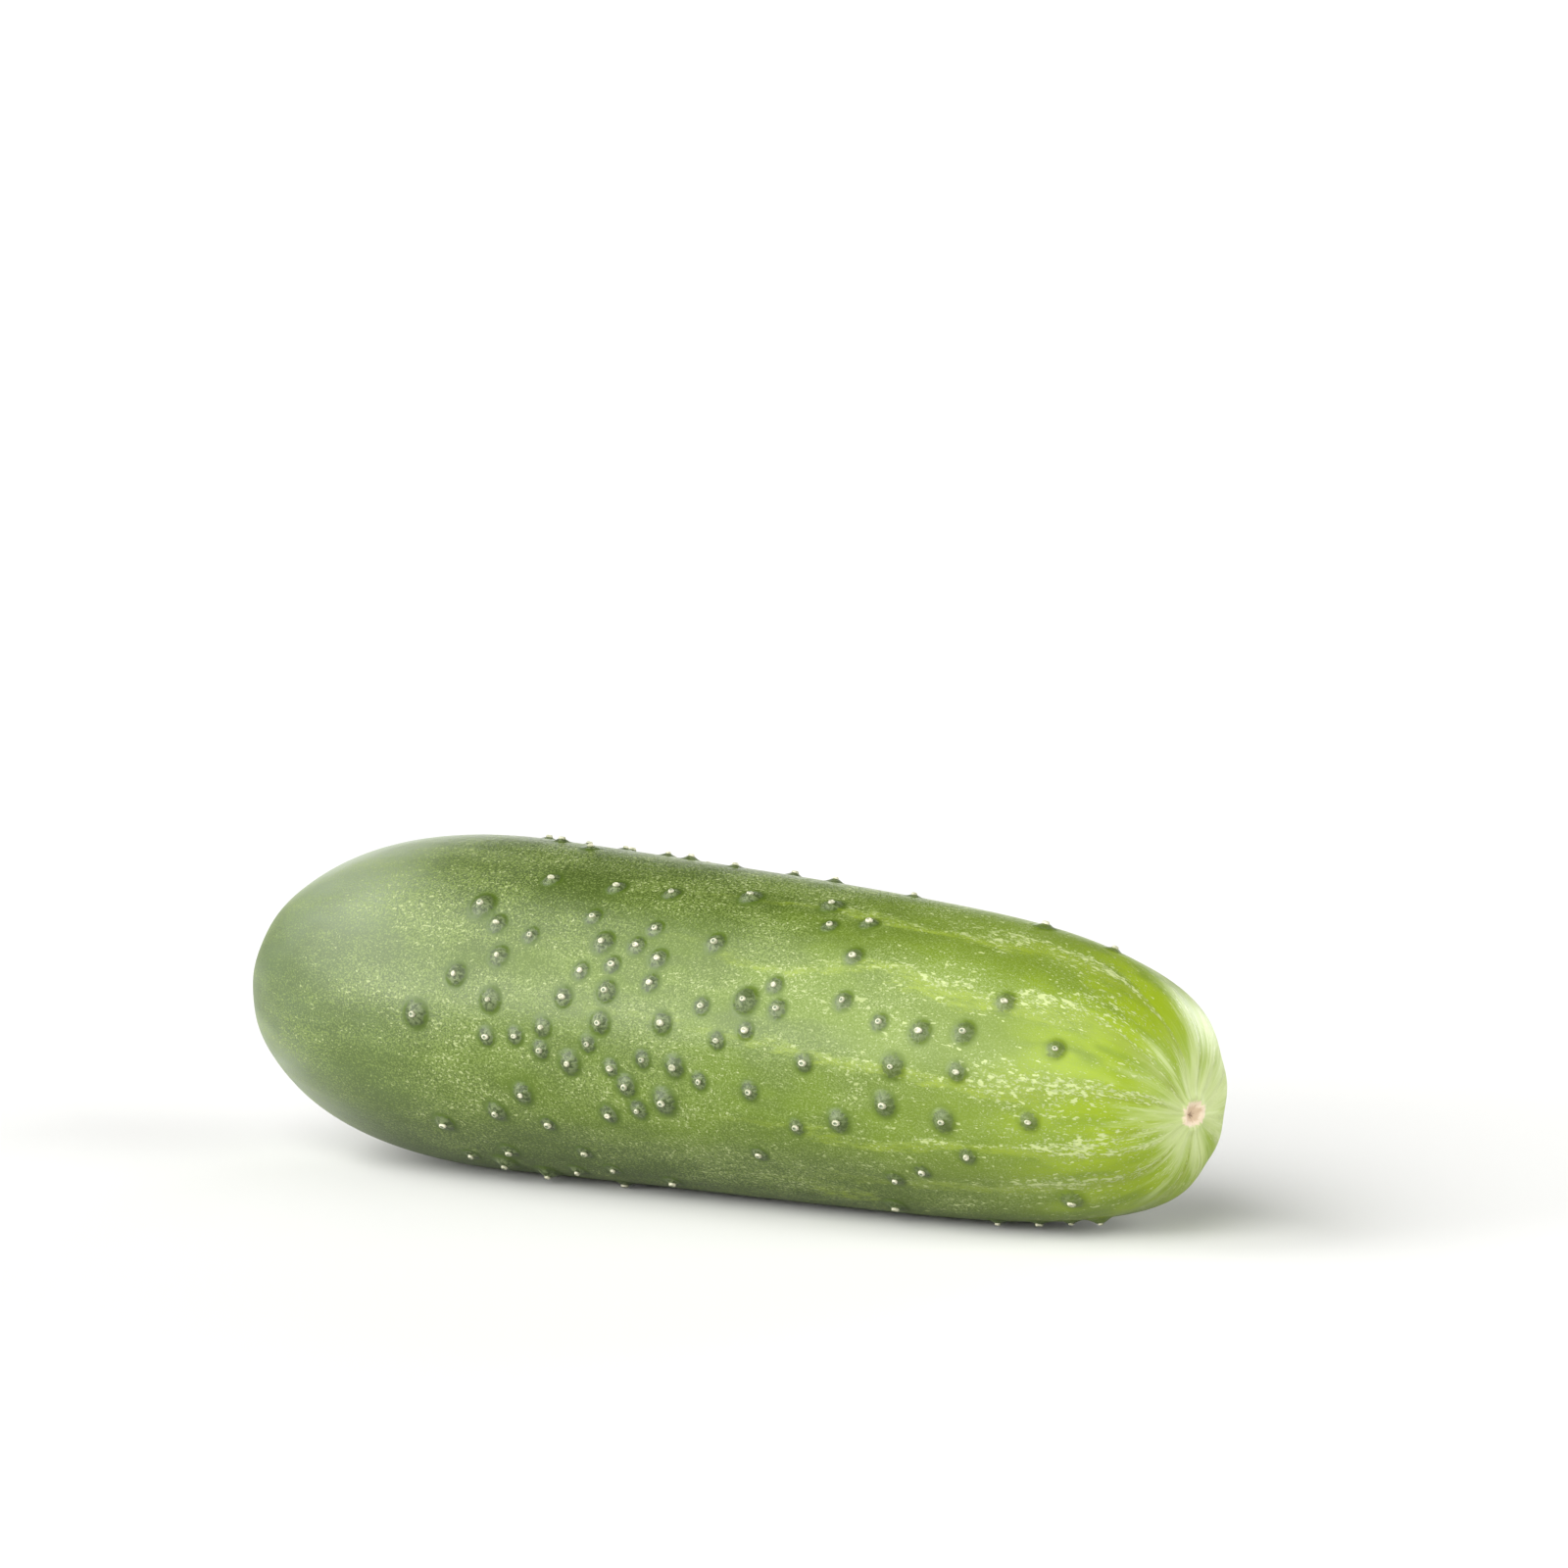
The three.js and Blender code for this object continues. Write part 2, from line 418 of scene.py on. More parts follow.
@dataclass(frozen=True)
class WartRule:
    """Where the warts stand: thick before the middle and on the lobes, none at the tips. Sizes in mm."""

    count: int = 185
    seed: int = 2177
    tries: int = 60000
    gap: float = 2.9
    touch: float = 0.85
    radius: tuple[float, float] = (1.05, 2.1)
    height: tuple[float, float] = (0.5, 1.05)
    clearance: float = 0.1
    lobe_share: float = 0.4
    density: tuple[tuple[float, float], ...] = (
        (0.23, 0), (0.29, 0.25), (0.34, 0.8), (0.4, 1), (0.54, 1),
        (0.63, 0.6), (0.72, 0.42), (0.92, 0.25), (0.95, 0),
    )

    def place(self, shape: Shape) -> list[Wart]:
        """Draws the warts one after another, keeping each that has room.

        Args:
            shape: The fruit that they stand on.

        Returns:
            The warts, with their middles on the smooth skin.
        """
        draw = random_from(self.seed)
        lowest = shape.lowest()
        warts: list[Wart] = []
        for _ in range(self.tries):
            if len(warts) == self.count:
                break
            share, angle, chance, size = draw(), 2 * math.pi * draw(), draw(), draw() ** 2
            lobe = 1 - self.lobe_share + self.lobe_share * math.cos(shape.lobes * (angle - shape.lobe_angle))
            if chance > along_corners(self.density, share) * lobe:
                continue
            turn = math.acos(1 - 2 * share)
            middle = shape.point(turn, angle)
            outward = shape.outward(turn, angle)
            height = self.height[0] + (self.height[1] - self.height[0]) * size
            radius = self.radius[0] + (self.radius[1] - self.radius[0]) * size
            if shape.laid(middle + outward * height).z - lowest < shape.rest_depth + self.clearance:
                continue
            if all(
                (wart.middle - middle).length > max(self.gap, self.touch * (wart.radius + radius))
                for wart in warts
            ):
                warts.append(Wart(middle, outward, radius, height))
        return warts


@dataclass(frozen=True)
class SkinPlace:
    """Where a point of the skin lies, as sources in the material's tree.

    Lengths are in mm. Share is the share of the skin's length from the stem tip, and near is the distance to
    the nearest wart's middle as a multiple of its shade's reach.
    """

    rolled: Source
    path: Source
    to_flower: Source
    share: Source
    angle: Source
    height: Source
    near: Source


@dataclass(frozen=True)
class CucumberSkin:
    """Living cucumber skin under its thin wax: half glossy, dull green at the stem end, lime and striped at
    the flower end, strewn with pale flecks.

    Ramps read a share of the skin's length where their name ends in share, and else what their comment says.
    """

    name: str = "cucumber_skin_waxed"
    roughness: float = 0.44
    fleck_roughness: float = 0.59
    refraction: float = 1.4

    # Ground colours at shares of the skin's length, which drift to and fro.
    along: tuple[tuple[float, str], ...] = (
        (0.0, "#5c6752"), (0.14, "#465434"), (0.35, "#42540c"), (0.6, "#50640a"),
        (0.84, "#5e7116"), (0.94, "#748a06"), (1.0, "#a4b070"),
    )
    drift: Cloud = Cloud(26, 9, 3.0, swing=0.14)

    # Dull patches, by the value of their pattern.
    dull: str = "#3c4a1c"
    dull_patches: Cloud = Cloud(11, 5)
    dull_patch: Ramp = Ramp(0.62, 0.42)
    dull_share: Ramp = Ramp(0.9, 0.6, 0.4)

    # Painted shade: a darker underside and crown, where less light and less reflection fall, by height above
    # the floor in mm.
    painted_shade: str = "#2b3b03"
    underside_shade: Ramp = Ramp(13.5, 2.0, 0.95)
    underside_shade_share: Ramp = Ramp(1.0, 0.6)
    crown_shade: Ramp = Ramp(30, 39, 0.75)
    crown_shade_flower_share: Ramp = Ramp(0.76, 0.52)
    crown_shade_stem_share: Ramp = Ramp(0.18, 0.34)

    # Painted sheen: a pale reflection of the wax on the stem end, low on it and high along its top, by
    # height in mm, which drifts too.
    painted_sheen: str = "#99a28e"
    painted_sheen_drift: float = 8.0
    painted_sheen_low: Ramp = Ramp(21, 6)
    painted_sheen_high: Ramp = Ramp(27, 40, 0.8)
    painted_sheen_low_share: Ramp = Ramp(0.26, 0.08)
    painted_sheen_share: Ramp = Ramp(0.38, 0.04, 0.8)

    # Lime patches near the flower end, by the value of their pattern.
    lime: str = "#7a8e04"
    lime_patches: Cloud = Cloud(9, 4)
    lime_patch: Ramp = Ramp(0.36, 0.6)
    lime_start_share: Ramp = Ramp(0.8, 0.9, 0.95)
    lime_end_share: Ramp = Ramp(0.985, 0.93)

    # Pale stripes, each a smooth band and a chain of flecks beside it, by the height of a wave on the skin.
    # The pattern for their reach is so long that each stripe keeps its own value.
    stripe: str = "#73841c"
    stripes: float = 12.0
    stripe_angle: float = math.radians(169)
    stripe_bend: Cloud = Cloud(30, 9, 2.0, 0.45, swing=0.4)
    stripe_tear: Cloud = Cloud(2.2, 0.6, 4.0, 0.7, swing=0.75)
    stripe_reach: Cloud = Cloud(1e5, 5, 1.0)
    stripe_reach_gain: Ramp = Ramp(0.35, 0.65, 0.16, -0.16, soft=False)
    stripe_share: Ramp = Ramp(0.42, 0.8)
    stripe_narrow_share: Ramp = Ramp(0.55, 0.95, 0.7, 0.95, soft=False)
    band: Ramp = Ramp(-0.18, 0.34)
    chain: Ramp = Ramp(0.0, 0.4)
    chain_lag: float = 0.5

    # Flecks in three sizes, by the value of their pattern, thicker in some places and along the chains.
    grain: str = "#6e7f3e"
    grain_spots: Cloud = Cloud(0.286, 0.22, 2.0, 0.55)
    grain_spot: Ramp = Ramp(0.36, 0.64, 0.65)
    grain_share: Ramp = Ramp(0.96, 0.82)
    fleck: str = "#8b9564"
    fleck_spots: Cloud = Cloud(0.465, 0.31, 2.0, 0.55)
    fleck_spot: Ramp = Ramp(0.57, 0.67, 0.9)
    fleck_large: str = "#9ba56e"
    large_spots: Cloud = Cloud(1.08, 0.6, 1.0, 0.55)
    large_spot: Ramp = Ramp(0.63, 0.71, 0.95)
    large_share: Ramp = Ramp(0.52, 0.85)
    crowds: Cloud = Cloud(15, 6, 3.0, 0.6)
    crowd: Ramp = Ramp(0.35, 0.62, 0.02, -0.1, soft=False)
    crowd_share: Ramp = Ramp(0.15, 0.45, 0.0, -0.03, soft=False)
    chain_crowd: float = 0.14
    clear_of_warts: Ramp = Ramp(1.0, 1.8)

    # Pale streaks that run in to the flower scar, as a veil of lines and a solid end, by mm from the tip.
    streak: str = "#a7b27c"
    streak_lines: Cloud = Cloud(12, 1.6, 4.0, 0.65)
    streak_line: Ramp = Ramp(0.43, 0.66)
    streak_ends: Cloud = Cloud(8, 7, swing=9.0)
    streak_veil: Ramp = Ramp(16.0, 4.0, 0.75)
    streak_solid: Ramp = Ramp(9.0, 1.0, 0.7)

    # Warts: a green foot, a torn dark cone and a paler crust in wrinkles, by their shade's reach.
    wart_foot: str = "#3c5006"
    wart_cone: str = "#333f1d"
    wart_crust: str = "#647049"
    foot: Ramp = Ramp(1.8, 1.0, 0.8)
    cone: Ramp = Ramp(1.75, 1.4)
    cone_tear: float = 1.2
    wrinkles: Cloud = Cloud(0.55, 0.42, 3.0, 0.6)
    crust: Ramp = Ramp(0.42, 0.58, 0.85)
    wart_share: Ramp = Ramp(0.5, 0.85, 0.5, 0.9, soft=False)

    # Cork of the scars, by mm past the radius, with a darker ring and a crack, by distance in radii.
    cork: str = "#c6b59c"
    stem_cork: str = "#6e6046"
    cork_edge: Ramp = Ramp(0.2, -0.3)
    ring: str = "#a68a6a"
    ring_edge: Ramp = Ramp(0.75, 0.5, 0.6)
    crack: str = "#5a3f26"
    crack_edge: Ramp = Ramp(0.3, 0.0, 0.9)
    scar_edge: Cloud = Cloud(1.0, 5, 3.0, swing=0.9)
    scar_oval: float = 0.2

    # Low relief that is too fine for the mesh, with heights as multiples of a swell's and its depth in mm.
    waves: Cloud = Cloud(9, 5)
    wave_height: float = 3.5
    swells: Cloud = Cloud(1.4, 0.8, 3.0)
    grain_height: float = 0.5
    wrinkle_height: Ramp = Ramp(1.4, 0.8, 4.0)
    relief_strength: float = 0.4
    relief_depth: float = 0.1

    def material(self, shape: Shape, whole: float) -> bpy.types.Material:
        """Makes the skin's material.

        Args:
            shape: The fruit that wears it.
            whole: Length of skin from tip to tip, in mm.

        Returns:
            The material, which reads the mesh's own attributes.
        """
        material, tree, shader = blank_material(self.name)
        at = self._place(tree, whole)
        band, chain = self._stripes(tree, at)
        grain, fine, large = self._flecks(tree, at, chain)
        wrinkle = pattern(tree, at.rolled, self.wrinkles)
        layers = (
            (self.stripe, (band,)),
            (self.grain, (grain,)),
            (self.fleck, (fine,)),
            (self.streak, (self._end_streaks(tree, at),)),
            (self.fleck_large, (large,)),
        )
        colour = painted(tree, self._ground(tree, at), layers)
        colour = self._warts(tree, colour, at, wrinkle)
        colour = self._scars(tree, colour, at, shape)
        tree.links.new(colour, shader.inputs["Base Color"])
        tree.links.new(self._relief(tree, at, grain, wrinkle), shader.inputs["Normal"])
        gloss = Ramp(0.0, 1.0, self.fleck_roughness, self.roughness, soft=False)
        tree.links.new(graded(tree, fine, gloss), shader.inputs["Roughness"])
        shader.inputs["IOR"].default_value = self.refraction
        return material

    def _place(self, tree: Tree, whole: float) -> SkinPlace:
        """Reads where a point of the skin lies.

        Args:
            tree: The material's tree.
            whole: Length of skin from tip to tip, in mm.

        Returns:
            The point's places.
        """
        lane = add(tree, "ShaderNodeAttribute", attribute_name=Lane.ROLLED.value).outputs["Vector"]
        rolled = add(tree, VECTOR, {0: lane, "Scale": 1 / MM}, operation="SCALE")
        parts = add(tree, "ShaderNodeSeparateXYZ", {0: rolled})
        path = parts.outputs["X"]
        own = add(tree, "ShaderNodeTexCoord").outputs["Object"]
        standing = add(tree, VECTOR, {0: own, "Scale": 1 / MM}, operation="SCALE")
        return SkinPlace(
            rolled=rolled,
            path=path,
            to_flower=add(tree, MATH, {0: whole, 1: path}, operation="SUBTRACT"),
            share=add(tree, MATH, {0: path, 1: whole}, operation="DIVIDE"),
            angle=add(tree, MATH, {0: parts.outputs["Z"], 1: parts.outputs["Y"]}, operation="ARCTAN2"),
            height=add(tree, "ShaderNodeSeparateXYZ", {0: standing}).outputs["Z"],
            near=add(tree, "ShaderNodeAttribute", attribute_name=Lane.NEAR.value).outputs["Fac"],
        )

    def _ground(self, tree: Tree, at: SkinPlace) -> Socket:
        """Makes the ground colour, from dull at the stem to lime in patches at the flower end.

        Args:
            tree: The material's tree.
            at: Where the point lies.

        Returns:
            The ground colour.
        """
        drift = pattern(tree, at.rolled, self.drift)
        moved = add(tree, MATH, {0: at.share, 1: drift}, operation="ADD")
        ramp = add(tree, "ShaderNodeValToRGB", {0: moved})
        points = ramp.color_ramp.elements
        while len(points) < len(self.along):
            points.new(0.5)
        for point, (position, colour) in zip(points, self.along):
            point.position = position
            point.color = linear(colour)
        # Height with drift, for where the painted sheen lies.
        rise = self.painted_sheen_drift / self.drift.swing
        raised = add(tree, MATH, {0: drift, 1: rise, 2: at.height}, operation="MULTIPLY_ADD")
        dull, lime = [pattern(tree, at.rolled, cloud) for cloud in (self.dull_patches, self.lime_patches)]
        layers = (
            (self.dull, (dull, self.dull_patch), (at.share, self.dull_share)),
            # Painted shade: the underside and the crown darker by their height.
            (self.painted_shade, (at.height, self.underside_shade), (at.share, self.underside_shade_share)),
            (
                self.painted_shade, (at.height, self.crown_shade), (at.share, self.crown_shade_flower_share),
                (at.share, self.crown_shade_stem_share),
            ),
            # Painted sheen of the wax on the stem end, low on it and along its top.
            (
                self.painted_sheen, (raised, self.painted_sheen_low), (at.share, self.painted_sheen_low_share),
                (moved, self.painted_sheen_share),
            ),
            (self.painted_sheen, (raised, self.painted_sheen_high), (moved, self.painted_sheen_share)),
            (
                self.lime, (lime, self.lime_patch), (at.share, self.lime_start_share),
                (at.share, self.lime_end_share),
            ),
        )
        return painted(
            tree, ramp.outputs[0],
            [(colour, [graded(tree, value, edge) for value, edge in masks]) for colour, *masks in layers],
        )

    def _stripes(self, tree: Tree, at: SkinPlace) -> tuple[Socket, Socket]:
        """Makes the pale stripes that run from the flower scar and thin out towards the middle.

        Args:
            tree: The material's tree.
            at: Where the point lies.

        Returns:
            The masks of the smooth bands, and of the chains of flecks along one side of them.
        """
        bend = pattern(tree, at.rolled, self.stripe_bend)
        bent = add(tree, MATH, {0: at.angle, 1: bend}, operation="ADD")
        turned = add(tree, MATH, {0: bent, 1: self.stripe_angle}, operation="SUBTRACT")
        wave = add(tree, MATH, {0: turned, 1: self.stripes}, operation="MULTIPLY")
        tear = pattern(tree, at.rolled, self.stripe_tear)
        gain = graded(tree, pattern(tree, at.rolled, self.stripe_reach), self.stripe_reach_gain)
        reached = add(tree, MATH, {0: at.share, 1: gain}, operation="ADD")
        strength = graded(tree, reached, self.stripe_share)
        narrow = graded(tree, at.share, self.stripe_narrow_share)
        masks = []
        for lag, edge in ((0.0, self.band), (self.chain_lag, self.chain)):
            shifted = add(tree, MATH, {0: wave, 1: lag}, operation="ADD")
            ridge = add(tree, MATH, {0: shifted}, operation="COSINE")
            ragged = add(tree, MATH, {0: ridge, 1: tear}, operation="ADD")
            above = add(tree, MATH, {0: ragged, 1: narrow}, operation="SUBTRACT")
            stripe = graded(tree, above, edge)
            masks.append(add(tree, MATH, {0: stripe, 1: strength}, operation="MULTIPLY").outputs[0])
        return masks[0], masks[1]

    def _flecks(self, tree: Tree, at: SkinPlace, chain: Socket) -> tuple[Socket, Socket, Socket]:
        """Makes the pale flecks: a fine grain, flecks all over, and larger ones near the flower end.

        Args:
            tree: The material's tree.
            at: Where the point lies.
            chain: The mask of the chains along the stripes, where flecks are thick.

        Returns:
            The masks of the grain and of the flecks, which keep clear of the warts, and of the large flecks.
        """
        crowd = graded(tree, pattern(tree, at.rolled, self.crowds), self.crowd)
        crowd = add(tree, MATH, {0: crowd, 1: graded(tree, at.share, self.crowd_share)}, operation="ADD")
        crowd = add(tree, MATH, {0: chain, 1: self.chain_crowd, 2: crowd}, operation="MULTIPLY_ADD")
        clear = graded(tree, at.near, self.clear_of_warts)
        early = graded(tree, at.share, self.grain_share)
        early = add(tree, MATH, {0: clear, 1: early}, operation="MULTIPLY")
        late = graded(tree, at.share, self.large_share)
        masks = []
        for spots, edge, where in (
            (self.grain_spots, self.grain_spot, early),
            (self.fleck_spots, self.fleck_spot, clear),
            (self.large_spots, self.large_spot, late),
        ):
            value = add(tree, MATH, {0: pattern(tree, at.rolled, spots), 1: crowd}, operation="ADD")
            spot = graded(tree, value, edge)
            masks.append(add(tree, MATH, {0: spot, 1: where}, operation="MULTIPLY").outputs[0])
        return masks[0], masks[1], masks[2]

    def _end_streaks(self, tree: Tree, at: SkinPlace) -> Socket:
        """Makes the pale streaks that run in to the flower scar.

        Args:
            tree: The material's tree.
            at: Where the point lies.

        Returns:
            The streaks' mask.
        """
        lines = graded(tree, pattern(tree, at.rolled, self.streak_lines), self.streak_line)
        ends = pattern(tree, at.rolled, self.streak_ends)
        length = add(tree, MATH, {0: at.to_flower, 1: ends}, operation="ADD")
        veil = graded(tree, length, self.streak_veil)
        solid = graded(tree, length, self.streak_solid)
        veiled = add(tree, MATH, {0: lines, 1: veil}, operation="MULTIPLY")
        return add(tree, MATH, {0: veiled, 1: solid}, operation="MAXIMUM").outputs[0]

    def _warts(self, tree: Tree, colour: Socket, at: SkinPlace, wrinkle: Socket) -> Socket:
        """Lays the warts' colours over the skin, weaker towards the flower end.

        Args:
            tree: The material's tree.
            colour: The skin's colour.
            at: Where the point lies.
            wrinkle: The pattern of fine wrinkles.

        Returns:
            The colour with the warts.
        """
        strength = graded(tree, at.share, self.wart_share)
        torn = add(tree, MATH, {0: wrinkle, 1: self.cone_tear, 2: at.near}, operation="MULTIPLY_ADD")
        cone = graded(tree, torn, self.cone)
        layers = (
            (self.wart_foot, (graded(tree, at.near, self.foot), strength)),
            (self.wart_cone, (cone, strength)),
            (self.wart_crust, (cone, strength, graded(tree, wrinkle, self.crust))),
        )
        return painted(tree, colour, layers)

    def _scars(self, tree: Tree, colour: Socket, at: SkinPlace, shape: Shape) -> Socket:
        """Lays the cork of both scars over the skin.

        Args:
            tree: The material's tree.
            colour: The skin's colour.
            at: Where the point lies.
            shape: The fruit that wears it.

        Returns:
            The colour with both scars.
        """
        ragged = pattern(tree, at.rolled, self.scar_edge)
        turned = add(tree, MATH, {0: at.angle, 1: 2.0}, operation="MULTIPLY")
        wide = add(tree, MATH, {0: turned}, operation="COSINE")
        oval = add(tree, MATH, {0: wide, 1: -self.scar_oval, 2: 1.0}, operation="MULTIPLY_ADD")
        for length, scar, cork in (
            (at.to_flower, shape.flower_scar, self.cork),
            (at.path, shape.stem_scar, self.stem_cork),
        ):
            edge = add(tree, MATH, {0: length, 1: oval, 2: ragged}, operation="MULTIPLY_ADD")
            past = add(tree, MATH, {0: edge, 1: scar.radius}, operation="SUBTRACT")
            within = add(tree, MATH, {0: edge, 1: scar.radius}, operation="DIVIDE")
            layers = (
                (cork, (graded(tree, past, self.cork_edge),)),
                (self.ring, (graded(tree, within, self.ring_edge),)),
                (self.crack, (graded(tree, within, self.crack_edge),)),
            )
            colour = painted(tree, colour, layers)
        return colour

    def _relief(self, tree: Tree, at: SkinPlace, grain: Socket, wrinkle: Socket) -> Socket:
        """Makes the low relief: slow waves, small swells, the grain, and wrinkles on the warts.

        Args:
            tree: The material's tree.
            at: Where the point lies.
            grain: The grain's mask.
            wrinkle: The pattern of fine wrinkles.

        Returns:
            The bent normal.
        """
        swell = pattern(tree, at.rolled, self.swells)
        wave = pattern(tree, at.rolled, self.waves)
        height = add(tree, MATH, {0: wave, 1: self.wave_height, 2: swell}, operation="MULTIPLY_ADD")
        height = add(tree, MATH, {0: grain, 1: self.grain_height, 2: height}, operation="MULTIPLY_ADD")
        rugged = graded(tree, at.near, self.wrinkle_height)
        height = add(tree, MATH, {0: wrinkle, 1: rugged, 2: height}, operation="MULTIPLY_ADD")
        depth = {"Strength": self.relief_strength, "Distance": self.relief_depth * MM}
        return add(tree, "ShaderNodeBump", {"Height": height, **depth}).outputs["Normal"]


@dataclass(frozen=True)
class SpineCork:
    """Dry corky base of a fallen spine: matt and cream, some with a dull green pith inside a pale ring.

    The mottle is in mm. The pith's ramps read the distance from the middle in radii, and the base's age.
    """

    name: str = "spine_base_cork"
    colour: str = "#b6b49c"
    shade: str = "#84876a"
    pith: str = "#59664a"
    roughness: float = 0.45
    mottle: float = 0.5
    mottle_ramp: tuple[float, float] = (0.35, 0.6)
    pith_edge: Ramp = Ramp(0.62, 0.44)
    pith_age: Ramp = Ramp(0.65, 0.5)

    def material(self) -> bpy.types.Material:
        """Makes the spine bases' material.

        Returns:
            The material, whose pith reads the rim and the age of each base.
        """
        material, tree, shader = blank_material(self.name)
        place = add(tree, "ShaderNodeTexCoord").outputs["Object"]
        fine = {"Vector": place, "Scale": 1 / (self.mottle * MM), "Detail": 2.0}
        ramp = add(tree, "ShaderNodeValToRGB", {0: add(tree, "ShaderNodeTexNoise", fine)})
        points = ramp.color_ramp.elements
        for point, position, colour in zip(points, self.mottle_ramp, (self.shade, self.colour)):
            point.position = position
            point.color = linear(colour)
        rim = add(tree, "ShaderNodeAttribute", attribute_name=Lane.RIM.value).outputs["Fac"]
        age = add(tree, "ShaderNodeAttribute", attribute_name=Lane.AGE.value).outputs["Fac"]
        inside = (graded(tree, rim, self.pith_edge), graded(tree, age, self.pith_age))
        colour = painted(tree, ramp.outputs[0], ((self.pith, inside),))
        tree.links.new(colour, shader.inputs["Base Color"])
        shader.inputs["Roughness"].default_value = self.roughness
        return material


@dataclass(frozen=True)
class SweepPaper:
    """White matt studio paper of the sweep. Its tooth, in mm, is drawn coarser than it is, to show."""

    name: str = "studio_paper_white"
    colour: str = "#c6c6c4"
    roughness: float = 0.9
    tooth: float = 2.0
    tooth_depth: float = 0.05
    tooth_strength: float = 0.05

    def material(self) -> bpy.types.Material:
        """Makes the paper's material.

        Returns:
            The material.
        """
        material, tree, shader = blank_material(self.name)
        place = add(tree, "ShaderNodeTexCoord").outputs["Object"]
        tooth = {"Vector": place, "Scale": 1 / (self.tooth * MM), "Detail": 2.0}
        height = add(tree, "ShaderNodeTexNoise", tooth)
        depth = {"Strength": self.tooth_strength, "Distance": self.tooth_depth * MM}
        bump = add(tree, "ShaderNodeBump", {"Height": height, **depth})
        tree.links.new(bump.outputs["Normal"], shader.inputs["Normal"])
        shader.inputs["Base Color"].default_value = linear(self.colour)
        shader.inputs["Roughness"].default_value = self.roughness
        return material


def evaluated_piece(holder: bpy.types.Object, name: str) -> bpy.types.Object:
    """Turns an object with a live modifier into a plain mesh piece.

    Args:
        holder: The object that carries the modifier. It is removed.
        name: The piece's name.

    Returns:
        The new piece, at the origin.
    """
    depsgraph = bpy.context.evaluated_depsgraph_get()
    mesh = bpy.data.meshes.new_from_object(holder.evaluated_get(depsgraph))
    mesh.name = name
    piece = bpy.data.objects.new(name, mesh)
    bpy.context.scene.collection.objects.link(piece)
    bpy.data.objects.remove(holder)
    return piece


def points_object(name: str, places: list[Vector], values: dict[str, list],
                  edges: Sequence[tuple[int, int]] = ()) -> bpy.types.Object:
    """Makes an object of loose or chained points with attributes.

    Args:
        name: The object's name.
        places: The points, in metres.
        values: Values for each attribute, numbers or vectors.
        edges: Pairs of point numbers.

    Returns:
        The object, linked to the scene.
    """
    mesh = bpy.data.meshes.new(name)
    mesh.from_pydata([tuple(place) for place in places], list(edges), [])
    for key, numbers in values.items():
        if isinstance(numbers[0], Vector):
            attribute = mesh.attributes.new(key, "FLOAT_VECTOR", "POINT")
            attribute.data.foreach_set("vector", [part for vector in numbers for part in vector])
        else:
            attribute = mesh.attributes.new(key, "FLOAT", "POINT")
            attribute.data.foreach_set("value", numbers)
    thing = bpy.data.objects.new(name, mesh)
    bpy.context.scene.collection.objects.link(thing)
    return thing


@dataclass
class TreeInput:
    """A named input of a Geometry Nodes tree, with the value that its modifier gets."""

    name: str
    kind: str
    value: object


def new_tree(name: str, inputs: list[TreeInput]) -> tuple[Tree, bpy.types.Node]:
    """Starts a Geometry Nodes tree with its named inputs.

    Args:
        name: The tree's name.
        inputs: The inputs after the geometry.

    Returns:
        The tree and its input node.
    """
    tree = bpy.data.node_groups.new(name, "GeometryNodeTree")
    tree.interface.new_socket("Geometry", in_out="INPUT", socket_type="NodeSocketGeometry")
    for item in inputs:
        tree.interface.new_socket(item.name, in_out="INPUT", socket_type=f"NodeSocket{item.kind}")
    tree.interface.new_socket("Geometry", in_out="OUTPUT", socket_type="NodeSocketGeometry")
    return tree, add(tree, "NodeGroupInput")


def point_value(tree: Tree, points: Source, index: Source, lane: str, kind: str = "FLOAT") -> bpy.types.Node:
    """Reads one point's attribute, wherever the tree stands.

    Args:
        tree: The tree.
        points: The geometry that holds the point.
        index: The point's number.
        lane: The attribute's name.
        kind: The attribute's type.

    Returns:
        The node that gives the value.
    """
    value = add(tree, "GeometryNodeInputNamedAttribute", {"Name": lane}, data_type=kind)
    read = {"Geometry": points, "Value": value, "Index": index}
    return add(tree, "GeometryNodeSampleIndex", read, data_type=kind)


def finish_tree(tree: Tree, geometry: Source, material: Socket) -> None:
    """Ends a tree: real instances, smooth faces, the material and the output.

    Args:
        tree: The tree.
        geometry: The last geometry.
        material: The material that it gets.
    """
    real = add(tree, "GeometryNodeRealizeInstances", {0: geometry})
    smooth = add(tree, "GeometryNodeSetShadeSmooth", {"Geometry": real, "Shade Smooth": True})
    dressed = add(tree, "GeometryNodeSetMaterial", {"Geometry": smooth, "Material": material})
    add(tree, "NodeGroupOutput", {0: dressed})


def attach(thing: bpy.types.Object, tree: Tree, inputs: list[TreeInput]) -> None:
    """Puts a tree on an object and sets its inputs by their identifiers.

    Args:
        thing: The object.
        tree: The tree.
        inputs: The inputs with their values.
    """
    modifier = thing.modifiers.new(tree.name, "NODES")
    modifier.node_group = tree
    sockets = {s.name: s.identifier for s in tree.interface.items_tree if s.in_out == "INPUT"}
    for item in inputs:
        modifier[sockets[item.name]] = item.value


